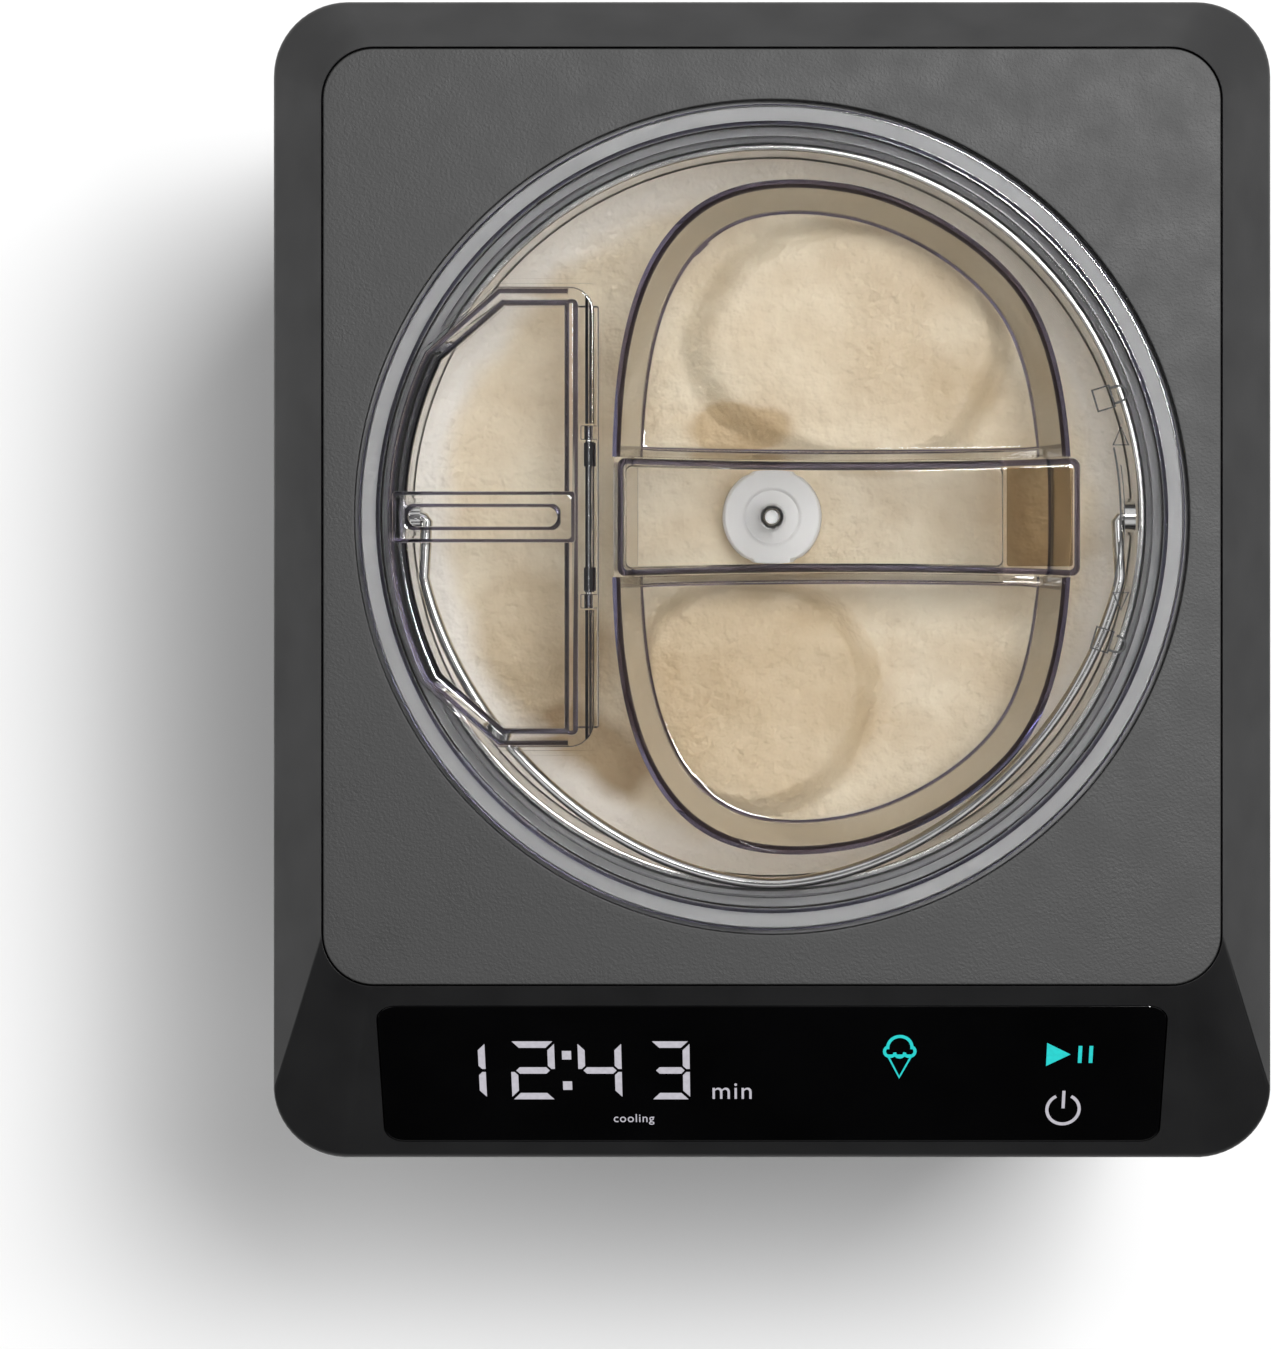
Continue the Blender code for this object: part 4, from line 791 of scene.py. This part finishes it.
def on_slope(bm):
    """Moves a flat drawing, in plan X and Y with Z as height, onto the front slope."""
    top, down, outward = slope_frame()
    for vert in bm.verts:
        x, y, out = vert.co
        along = (top.y - y) / -down.y
        vert.co = top + Vector((x, 0, 0)) + down * along + outward * out
    return bm


def drawn(points, width=None, closed=False):
    """A filled shape, or with a width a line, in millimetres of plan, on the display."""
    path = [(x / 1000, y / 1000) for x, y in points]
    shape = prism(path, *DISPLAY_OUT) if width is None else band(path, width / 1000, *DISPLAY_OUT, closed)
    return on_slope(shape)


# A seven-segment digit: the bars that it lights, and in millimetres the bars' width and the gap between them
SEGMENTS = {"1": "bc", "2": "abged", "3": "abgcd", "4": "fgbc"}
SEGMENT_WIDE = 1.65
SEGMENT_GAP = 0.42


def segment_shape(which, left, right, top, low):
    """One bar of a seven-segment digit: a wedge whose ends are cut at a slant towards its neighbours."""
    wide, gap = SEGMENT_WIDE, SEGMENT_GAP
    half = wide / 2
    middle = (top + low) / 2
    if which in "ad":
        y, inward = (top, -1) if which == "a" else (low, 1)
        return [(left + gap, y), (right - gap, y), (right - wide - gap, y + inward * wide),
                (left + wide + gap, y + inward * wide)]
    if which == "g":
        return [(left + half + gap, middle), (left + wide + gap, middle + half),
                (right - wide - gap, middle + half), (right - half - gap, middle),
                (right - wide - gap, middle - half), (left + wide + gap, middle - half)]
    x, inward = (right, -1) if which in "bc" else (left, 1)
    outer, toward = (top, 1) if which in "bf" else (low, -1)
    end = gap * 1.6
    return [(x, outer - toward * end), (x, middle + toward * gap),
            (x + inward * half, middle + toward * gap), (x + inward * wide, middle + toward * (gap + half)),
            (x + inward * wide, outer - toward * (end + wide))]


def make_digits():
    top, low = -109.0, -124.2
    shapes = []
    for digit, left, right in (("1", -78.6, -68.6), ("2", -62.5, -52.0), ("4", -46.4, -36.0),
                               ("3", -29.0, -19.7)):
        shapes += [drawn(segment_shape(which, left, right, top, low)) for which in SEGMENTS[digit]]
    for y in (-112.6, -120.6):
        shapes.append(drawn([(-50.2, y - 1.1), (-48.0, y - 1.1), (-48.0, y + 1.1), (-50.2, y + 1.1)]))
    add_piece("display_digits", merged(*shapes), "digit", "housing")


def make_word(name, text, x, y, size):
    """A short generic word as flat lettering on the display."""
    curve = bpy.data.curves.new(name, "FONT")
    curve.body = text
    curve.size = size
    curve.space_character = 1.1
    curve.extrude = 0.00004
    curve.align_x = "CENTER"
    curve.resolution_u = 4
    source = placed("lettering", curve)
    graph = bpy.context.evaluated_depsgraph_get()
    mesh = bpy.data.meshes.new_from_object(source.evaluated_get(graph))
    bm = bmesh.new()
    bm.from_mesh(mesh)
    bpy.data.objects.remove(source)
    bpy.data.meshes.remove(mesh)
    bmesh.ops.remove_doubles(bm, verts=bm.verts, dist=1e-7)
    moved(bm, Matrix.Translation((x, y, 0.0)))
    add_piece(name, on_slope(bm), "digit", "housing")


def make_icons():
    cone = [drawn([(27.6, -112.6), (30.5, -118.4), (33.4, -112.6)], 0.75, True),
            drawn(arc((30.5, -110.6), 2.9, -8, 188, 18), 0.75),
            drawn(arc((28.2, -111.6), 1.35, 120, 330, 10), 0.75),
            drawn(arc((32.8, -111.6), 1.35, 210, 420, 10), 0.75),
            drawn(arc((30.5, -111.9), 1.2, 180, 360, 8), 0.75)]
    play = [drawn([(65.6, -115.4), (65.6, -109.4), (71.3, -112.4)]),
            drawn([(73.6, -114.6), (73.6, -110.2)], 0.9), drawn([(76.2, -114.6), (76.2, -110.2)], 0.9)]
    add_piece("display_icons", merged(*cone, *play), "cyan", "housing")
    power = [drawn(arc((70.2, -126.9), 3.9, 118, 422, 30), 0.75),
             drawn([(70.2, -126.6), (70.2, -122.0)], 0.75)]
    add_piece("display_power", merged(*power), "digit", "housing")


def make_display():
    glass = slope_slab(GLASS_HALF_X, *GLASS_DOWN, -0.0022, 0.0, 0.0045, 0.0003)
    add_piece("display_window", glass, "glass", "housing", "display_glass")
    make_digits()
    make_word("display_minutes", "min", -0.0096, -0.1241, 0.0064)
    make_word("display_state", "cooling", -0.0334, -0.1303, 0.0031)
    make_icons()


# ---- tub, bowl and paddle


def sector(inner, outer, low, high, middle, half_angle, steps=8):
    """A block of a ring about the main axis, between two radii and two heights."""
    angles = [math.radians(middle - half_angle + 2 * half_angle * i / steps) for i in range(steps + 1)]
    outline = [(outer * math.cos(a), AXIS_Y + outer * math.sin(a)) for a in angles]
    outline += [(inner * math.cos(a), AXIS_Y + inner * math.sin(a)) for a in reversed(angles)]
    return prism(outline, low, high)


def make_tub():
    profile = [(0.1010, 0.3313, 0), (0.1010, 0.3406, 0.0002), (0.0962, 0.3406, 0.0004), (0.0962, 0.3313, 0)]
    lugs = [fused(sector(0.0933, 0.0972, 0.3378, 0.3405, angle + LUG_OFFSET, 9)) for angle in BAYONET_ANGLES]
    ring = joined(turned(profile), *lugs)
    add_piece("bayonet_ring", ring, "ring", "housing", "tub_ring")
    gasket = [(0.0926, 0.3313, 0), (0.0926, 0.3330, 0.0004), (0.0891, 0.3330, 0.0004), (0.0891, 0.3313, 0)]
    add_piece("gasket", turned(gasket), "silicone", "housing", "tub_gasket")
    tub = [(0.0072, 0.208, 0), (0.0914, 0.208, 0.002), (0.0914, 0.329, 0.0006), (0.1008, 0.329, 0.0002),
           (0.1008, 0.331, 0.0002), (0.0894, 0.331, 0.0006), (0.0894, 0.210, 0.002), (0.0072, 0.210, 0)]
    add_piece("cold_tub", turned(tub), "aluminium", "housing", "tub")


def make_bowl():
    floor = 0.2145
    profile = [(0.0062, 0.213, 0), (0.0830, 0.213, 0.002), (0.0878, 0.2175, 0.002), (0.0878, 0.335, 0.0002),
               (0.0886, 0.335, 0.0003), (0.0886, 0.337, 0.0006), (0.0870, 0.337, 0.0006),
               (0.0870, floor + 0.004, 0.002), (0.0825, floor, 0.002), (0.0080, floor, 0.0005),
               (0.0080, 0.292, 0.0005), (0.0062, 0.292, 0)]
    add_piece("bowl_shell", turned(profile), "steel", "bowl", "mixing_bowl")


def make_ears():
    """The bowl's two ears, in which the bail's ends turn."""
    outline = [(-0.0044, -0.0060), (0.0044, -0.0060), *arc((0, -0.0002), 0.0037, -10, 190, 14)]
    for side, sign in (("left", -1), ("right", 1)):
        loops = [[Vector((sign * x, AXIS_Y + y, BAIL_PIVOT_Z + z)) for y, z in outline]
                 for x in (0.0834, 0.0862)]
        bore = moved(rod(0.0018, -0.01, 0.01, 24), at((sign * 0.0848, AXIS_Y, BAIL_PIVOT_Z), 90, "Y"))
        add_piece(f"bowl_ear_{side}", joined(loft(loops), cut(bore)), "bright", "bowl",
                  f"bail_ear_{side}")


def bail_points(count=110):
    """The bail's route: a short stub through each ear, and between them half of a rounded oval."""
    stub = [(0.0856, 0.0), (0.0836, 0.0), (0.0827, 0.0003), (0.0820, 0.0010)]
    curve = []
    for i in range(7, count - 6):
        angle = math.pi * i / count
        c, s = math.cos(angle), math.sin(angle)
        curve.append((BAIL_X * math.copysign(abs(c) ** (2 / BAIL_POWER), c), BAIL_Y * s ** (2 / BAIL_POWER)))
    whole = [*stub, *curve, *((-x, y) for x, y in reversed(stub))]
    lean = (BAIL_TIP_Z - BAIL_PIVOT_Z) / BAIL_Y
    return [Vector((x, AXIS_Y - y, BAIL_PIVOT_Z + lean * y)) for x, y in whole]


def make_bail():
    wire = sweep(bail_points(), BAIL_WIRE)
    add_piece("bail_wire", wire, "bright", "bail", "bail_handle")


def paddle_arm(turn):
    """The bars, slat and scraper on one side of the paddle."""
    top = soft_box((0.0100, -0.0042, 0.2995), (0.0800, 0.0042, 0.3055), 0.0012)
    low = soft_box((0.0100, -0.0040, 0.2185), (0.0800, 0.0040, 0.2250), 0.0012)
    scraper = soft_box((-0.0065, -0.0014, 0.2180), (0.0045, 0.0014, 0.3060), 0.0006)
    slat = soft_box((-0.0090, -0.0012, 0.2240), (0.0060, 0.0012, 0.3000), 0.0005)
    shapes = (top, low, moved(scraper, at((0.080, 0, 0), 35)), moved(slat, at((0.044, 0, 0), -40)))
    return [fused(moved(shape, at(AXIS, turn))) for shape in shapes]


def make_paddle():
    axis = (0.0, AXIS_Y)
    hub = turned([(0.0120, 0.2165, 0.0006), (0.0120, 0.318, 0.0016), (0.0070, 0.318, 0.0004),
                  (0.0064, 0.3176, 0)], 64, ring=False)
    hollows = [rod(0.0086, 0.2140, 0.2946, 32, axis),
               axis_box((-0.0041, -0.0041, 0.2900), (0.0041, 0.0041, 0.3080)),
               rod(0.0027, 0.3115, 0.3200, 32, axis)]
    grooves = [axis_box((-0.0043, low, 0.3175), (0.0043, high, 0.3220))
               for low, high in ((-0.0140, -0.0072), (0.0072, 0.0140))]
    whole = joined(hub, *[cut(shape) for shape in hollows + grooves], *paddle_arm(90), *paddle_arm(-90))
    add_piece("dasher", whole, "white", "paddle", "paddle")


# ---- ice cream


def fold(x, y, centre, radii, edge):
    """1 inside a round fold of cream, falling to 0 across its edge."""
    dx, dy = (x - centre[0]) / radii[0], (y - centre[1]) / radii[1]
    reach = math.hypot(dx, dy) + 0.10 * noise.noise(Vector((x * 28, y * 28, 3.0)))
    share = min(max((1.0 - reach) / edge, 0.0), 1.0)
    return share * share * (3 - 2 * share)


def ripple(x, y, size, scale, seed):
    return size * noise.noise(Vector((x * scale, y * scale, seed)))


def cream_height(x, y):
    """Surface of the churned cream at a place relative to the axis."""
    reach = math.hypot(x, y)
    height = 0.3098 + ripple(x, y, 0.0012, 22, 1.0)
    for rise, *shape in CREAM_FOLDS:
        height += rise * fold(x, y, *shape)
    height += ripple(x, y, 0.0007, 90, 5.0)
    height += ripple(x, y, 0.00022, 300, 9.0)
    climb = max(reach - 0.074, 0.0) / 0.0128
    height += 0.0048 * climb ** 2
    near = max(1.0 - (reach - 0.012) / 0.010, 0.0)
    return height + (0.3085 - height) * min(near, 1.0) ** 2


def make_cream(rings=110, sides=300):
    inner, outer, low = 0.0121, 0.0867, 0.3064
    loops = []
    for step in range(rings + 1):
        flat = circle(inner + (outer - inner) * step / rings, sides)
        loops.append([Vector((x, y + AXIS_Y, cream_height(x, y))) for x, y in flat])
    loops += [flat_loop(circle(radius, sides, (0, AXIS_Y)), low) for radius in (outer, inner)]
    add_piece("frozen_cream", loft(loops, ring=True), "cream", "bowl", angle=60.0)


# ---- lid


def oval_point(angle, inset):
    """A point of the finger-well oval, relative to the lid axis, at an angle round the oval's middle.

    The oval is a mixed superellipse, eased so that it stays within WELL_LIMIT of the lid's axis.
    """
    c, s = math.cos(angle), math.sin(angle)
    power = WELL_POWER_RIGHT if c > 0 else WELL_POWER_LEFT
    x = WELL_MIDDLE_X + (WELL_HALF_X - inset) * math.copysign(abs(c) ** (2 / power), c)
    y = (WELL_HALF_Y - inset) * math.copysign(abs(s) ** (2 / power), s)
    reach = math.hypot(x, y)
    limit = WELL_LIMIT - inset
    held = limit - WELL_EASE * math.log1p(math.exp((limit - reach) / WELL_EASE))
    return x * held / reach, y * held / reach


def oval_loop(inset, height, count=120):
    points = [oval_point(math.tau * i / count, inset) for i in range(count)]
    return [Vector((x, y + AXIS_Y, height)) for x, y in points]


def edge_angle(inset, bar_edge, right):
    """The angle at which the oval's upper half meets the line y = bar_edge, found by halving."""
    low, high = 0.0, math.pi / 2
    for _ in range(40):
        middle = (low + high) / 2
        angle = middle if right else math.pi - middle
        if oval_point(angle, inset)[1] < bar_edge:
            low = middle
        else:
            high = middle
    return low if right else math.pi - low


def waist(x):
    """How far the handle bar's side is drawn in at x, most in the middle of the bar."""
    share = (2 * x - BAR_LEFT - BAR_RIGHT) / (BAR_RIGHT - BAR_LEFT)
    return BAR_WAIST * max(1 - share * share, 0.0)


def bar_outline(inset_y, left, right, corner, count=24):
    """Outline of the waisted bar, or of the hollow in it, with round corners."""
    half = BAR_HALF_Y - inset_y
    outline = []
    for x, y in rounded_rectangle((left, -half), (right, half), corner, 6):
        outline.append((x, y - math.copysign(waist(x), y)))
    front, back = outline[-1], outline[0]
    xs = [front[0] + (back[0] - front[0]) * i / count for i in range(1, count)]
    lower = [(x, -half + waist(x)) for x in xs]
    turn = len(outline) // 2
    upper = [(x, half - waist(x)) for x in reversed(xs)]
    return [(x, AXIS_Y + y) for x, y in outline[:turn] + upper + outline[turn:] + lower]


def well_loop(inset, bar_edge, height, side, count=64):
    """Half of the oval on one side of the handle bar: its arc, closed by the bar's waisted edge."""
    start, end = edge_angle(inset, bar_edge, True), edge_angle(inset, bar_edge, False)
    points = [oval_point(start + (end - start) * i / count, inset) for i in range(count + 1)]
    left, right = points[-1][0], points[0][0]
    xs = [left + (right - left) * i / 24 for i in range(1, 24)]
    points += [(x, bar_edge - waist(x)) for x in xs]
    loop = [Vector((x, side * y + AXIS_Y, height)) for x, y in points]
    return loop if side > 0 else loop[::-1]


def well_cutter(side):
    """The hollow of one finger well, by levels of inset, distance from the bar, height and edge size."""
    levels = ((0.0094, 0.0054, WELL_FLOOR, 0), (0.0064, 0.0024, WELL_FLOOR, 0.0012),
              (0.0032, 0.0008, 0.3380, 0.0012), (0.0020, 0.0003, 0.3436, 0.0006), (0.0002, 0.0, LID_TOP, 0),
              (-0.0010, 0.0, LID_TOP + 0.0004, 0), (-0.0010, 0.0, 0.3520, 0))
    loops = [well_loop(inset, BAR_HALF_Y + step, height, side) for inset, step, height, _ in levels]
    return loft(soft(loops, [size for *_, size in levels]))


def flap_outline(inset, corner=0.006, steps=8):
    """The D of the flap or of its opening, relative to the lid axis, shrunk by inset."""
    right, top = FLAP_RIGHT - inset, FLAP_HALF_Y - inset
    radius = max(corner - inset, 0.001)
    upper = []
    for step in range(steps + 1):
        angle = math.pi / 2 * step / steps
        upper.append((right - radius + radius * math.cos(angle), top - radius + radius * math.sin(angle)))
    upper.append((FLAP_CORNER_X + 0.3 * inset, top))
    round_side = arc((0.0, 0.0), FLAP_ARC - inset, 180 - FLAP_ARC_ANGLE, 180 + FLAP_ARC_ANGLE, 24)
    lower = [(x, -y) for x, y in reversed(upper)]
    return [(x, y + AXIS_Y) for x, y in upper + round_side + lower]


def pin_along_y(radius, half_length):
    return turn_to_y(rod(radius, -half_length, half_length, 24), (HINGE_X, AXIS_Y, HINGE_Z))


def hinge_blocks(x_range, y_range, z_range, size=0.0):
    """Two equal boxes at the hinge, one on each side of the lid's middle."""
    blocks = []
    for side in (1, -1):
        near, far = sorted(side * y for y in y_range)
        blocks.append(axis_box((x_range[0], near, z_range[0]), (x_range[1], far, z_range[1]), size))
    return merged(*blocks)


def make_bar():
    """The handle between the wells, with rounded corners and edges."""
    outline = bar_outline(0.0001, BAR_LEFT, BAR_RIGHT, 0.0022)
    inner = bar_outline(0.0034, BAR_LEFT + 0.0034, BAR_RIGHT - 0.0034, 0.0012)
    return stacked([(outline, 0.3440, 0), (outline, BAR_TOP, 0.0027), (inner, BAR_TOP, 0)], steps=7)


def make_hollow():
    """The open underside of the bar, which stops short of the bar's solid right end."""
    levels = ((0.3180, 0.0000, -0.0320, 0.0560, 0), (0.3465, 0.0020, -0.0346, 0.0545, 0.0007),
              (0.3465, 0.0040, -0.0326, 0.0525, 0))
    return stacked([(bar_outline(inset, left, right, 0.0014), z, size)
                    for z, inset, left, right, size in levels])


def lid_blank():
    """The lid's disc, with its flange and the skirt that stands in the tub's ring."""
    return turned([(0.0896, LID_UNDER, 0), (0.0902, LID_UNDER, 0.0005), (0.0902, 0.3334, 0.0005),
                   (0.0928, 0.3334, 0.0005), (0.0928, LID_UNDER, 0.0004), (FLANGE_OUTER, LID_UNDER, 0.0004),
                   (FLANGE_OUTER, FLANGE_TOP, 0.0006), (0.0934, FLANGE_TOP, 0.0003),
                   (0.0930, LID_TOP, 0.0004), (0.0915, LID_TOP, 0)], ring=False)


def lid_steps():
    """What is added to the lid's blank and cut from it, in order."""
    tub = loft(soft([oval_loop(0.0080, 0.3203), oval_loop(0.0042, 0.3203), oval_loop(0.0012, 0.3380),
                     oval_loop(0.0002, 0.3440)], (0, 0.0016, 0.0010, 0)))
    boss = turned([(0.0026, 0.3192, 0), (0.0034, 0.3192, 0.0003), (0.0032, 0.3475, 0)], 48, ring=False)
    boss_bore = turned([(0.0020, 0.3180, 0), (0.0020, 0.3347, 0.0004), (0.0010, 0.3347, 0)], 32, ring=False)
    tabs = [sector(0.0918, 0.0955, 0.3342, 0.3372, angle, 8) for angle in BAYONET_ANGLES]
    shelf = prism(flap_outline(-0.0020, SQUARE_CORNER), 0.3405, 0.3435)
    beam = axis_box((FLAP_RIGHT - 0.0050, -0.0500, 0.3352), (FLAP_RIGHT + 0.0010, 0.0500, 0.3410), 0.0005)
    recess = prism(flap_outline(-0.0008, SQUARE_CORNER), 0.3420, 0.3600)
    opening = prism(flap_outline(0.0048), 0.3300, 0.3600)
    knuckles = hinge_blocks((-0.0452, -0.0405), (0.0182, 0.0216), (0.3414, 0.3455), 0.0003)
    return [*[fused(shape) for shape in (tub, make_bar(), *tabs, shelf, beam)],
            cut(well_cutter(1)), cut(well_cutter(-1)), cut(make_hollow()), fused(boss), cut(boss_bore),
            cut(recess), cut(opening), fused(knuckles), cut(pin_along_y(0.00105, 0.0260))]


def make_lid():
    add_piece("clear_lid", joined(lid_blank(), *lid_steps()), "clear", "lid", "lid",
              angle=28.0)
    add_piece("hinge_rod", pin_along_y(0.00075, 0.0212), "bright", "lid", "flap_hinge_pin")
    pin = turned([(0.0006, 0.3122, 0), (0.0012, 0.3122, 0.0002), (0.0017, 0.3130, 0.0003),
                  (0.0017, 0.3344, 0.0003), (0.0008, 0.3344, 0)], 32, ring=False)
    add_piece("centre_pin", pin, "pin", "lid", "lid_center_pin")
    seal = [(0.0972, 0.3409, 0.0003), (0.0972, 0.3422, 0.0004), (0.0934, 0.3422, 0.0004),
            (0.0934, 0.3409, 0.0003)]
    add_piece("seal_ring", turned(seal), "silicone", "lid_carrier", "lid_seal")


def hinge_barrels():
    """The flap's two round knuckles on the hinge rod."""
    barrels = []
    for side in (1, -1):
        shape = turned([(0.0010, -0.0028, 0), (0.0017, -0.0028, 0.0002), (0.0017, 0.0028, 0.0002),
                        (0.0010, 0.0028, 0)], 32, (0, 0), ring=False)
        barrels.append(fused(turn_to_y(shape, (HINGE_X, AXIS_Y + side * KNUCKLE_Y, HINGE_Z))))
    return barrels


def make_flap():
    inner, outline = flap_outline(0.002), flap_outline(0.0)
    door = stacked([(inner, FLAP_BOTTOM, 0), (outline, FLAP_BOTTOM, 0.0004), (outline, FLAP_TOP, 0.0006),
                    (inner, FLAP_TOP, 0)])
    rim_outer, rim_inner = flap_outline(0.0004), flap_outline(0.0046)
    rim = stacked([(rim_outer, 0.3438, 0), (rim_outer, 0.3473, 0.0020), (rim_inner, 0.3473, 0.0020),
                   (rim_inner, 0.3438, 0)], ring=True, steps=6)
    beside_hinge = soft_box((-0.0481, -0.1000, 0.3300), (-0.0300, 0.1500, 0.3600))
    rail_outer = rounded_rectangle((-0.0895, AXIS_Y - 0.0061), (-0.0463, AXIS_Y + 0.0061), 0.0009, 8)
    slot = rounded_rectangle((-0.0856, AXIS_Y - 0.0022), (-0.0507, AXIS_Y + 0.0022), 0.0021, 8)
    rail = stacked([(rail_outer, 0.3430, 0), (rail_outer, 0.3485, 0.0019), (slot, 0.3485, 0.0019),
                    (slot, 0.3430, 0)], ring=True, steps=6)
    bead = axis_box((-0.0490, -0.0515, 0.3440), (-0.0457, 0.0515, 0.3469), 0.0014, 4)
    notches = hinge_blocks((-0.0458, -0.0400), (0.0178, 0.0220), (0.3300, 0.3600))
    whole = joined(rim, cut(beside_hinge), fused(door), fused(bead), fused(rail), cut(notches),
                   *hinge_barrels(), cut(pin_along_y(0.00085, 0.0600)))
    add_piece("clear_flap", whole, "clear_flap", "flap", "ingredient_flap", angle=28.0)


def make_shade():
    """A brown-tinted clear sheet on the right end of the handle bar: painted shade on the cream seen through
    it.
    """
    outline = rounded_rectangle((0.0552, AXIS_Y - 0.0116), (0.0708, AXIS_Y + 0.0116), 0.0006, 4)
    film = prism(outline, BAR_TOP + 0.00005, BAR_TOP + 0.00025)
    add_piece("bar_shade", film, "tint", "lid")


def marked(points, width, closed=True, middle=(0.0, 0.0), turn=0.0):
    """A thin raised line on the lid's face, drawn in millimetres round a middle and then turned."""
    c, s = math.cos(math.radians(turn)), math.sin(math.radians(turn))
    path = [((middle[0] + x * c - y * s) / 1000, AXIS_Y + (middle[1] + x * s + y * c) / 1000)
            for x, y in points]
    return band(path, width / 1000, *MARK_HEIGHT, closed)


def padlock(middle, turn, open_shackle):
    """A generic padlock outline: a body, and a shackle that is shut or lifted at one side."""
    body = [(-3.2, -2.6), (0.9, -2.6), (0.9, 2.6), (-3.2, 2.6)]
    shackle = [(0.9, -1.9), (2.6, -1.9), *arc((2.6, 0.0), 1.9, -90, 90, 10)]
    shackle += [(1.9, 1.9)] if open_shackle else [(0.9, 1.9)]
    return [marked(body, 0.55, True, middle, turn), marked(shackle, 0.55, False, middle, turn)]


def make_marks():
    up = [(82.3, 21.2), (80.5, 17.0), (84.1, 17.0)]
    down = [(82.3, -22.0), (80.5, -17.8), (84.1, -17.8)]
    shapes = [*padlock((79.3, 28.3), 17, False), *padlock((79.0, -29.3), -17, True),
              marked(up, 0.5), marked(down, 0.5),
              marked(arc((0, 0), 82.3, -11.5, 11.5, 40), 0.45, False),
              marked(arc((0, 0), 83.2, -8.5, 8.5, 30), 0.2, False)]
    add_piece("lid_marks", merged(*shapes), "mark", "lid")


# ---- what stays as modelled in CAD

# The finish of the nodes whose names start with a word; the others are black
KEPT_FINISHES = {
    "evaporator_coil": "copper", "insulation_foam": "foam", "mid_plate": "aluminium", "drive_motor": "enamel",
    "motor_pinion": "brass", "idler": "white", "output_gear": "white", "drive_shaft": "bright",
    "shaft": "brass", "compressor": "enamel", "condenser": "aluminium", "filter": "copper",
    "discharge": "copper", "suction": "copper", "capillary": "copper", "power_board": "board",
    "display_board": "board",
}


def finish_kept_nodes():
    for name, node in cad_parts.items():
        if node.hide_render:
            continue
        finish = next((KEPT_FINISHES[word] for word in KEPT_FINISHES if name.startswith(word)), "black")
        node.data.materials.clear()
        node.data.materials.append(FINISHES[finish])


# ---- the whole scene


make_camera()
make_world()
FINISHES = make_finishes()
make_floor()
make_key()
make_collar()
make_deck()
make_casing()
make_back_panel()
make_back_screws()
make_inlet()
make_feet()
make_display()
make_tub()
make_bowl()
make_ears()
make_bail()
make_paddle()
make_cream()
make_lid()
make_flap()
make_shade()
make_marks()
finish_kept_nodes()
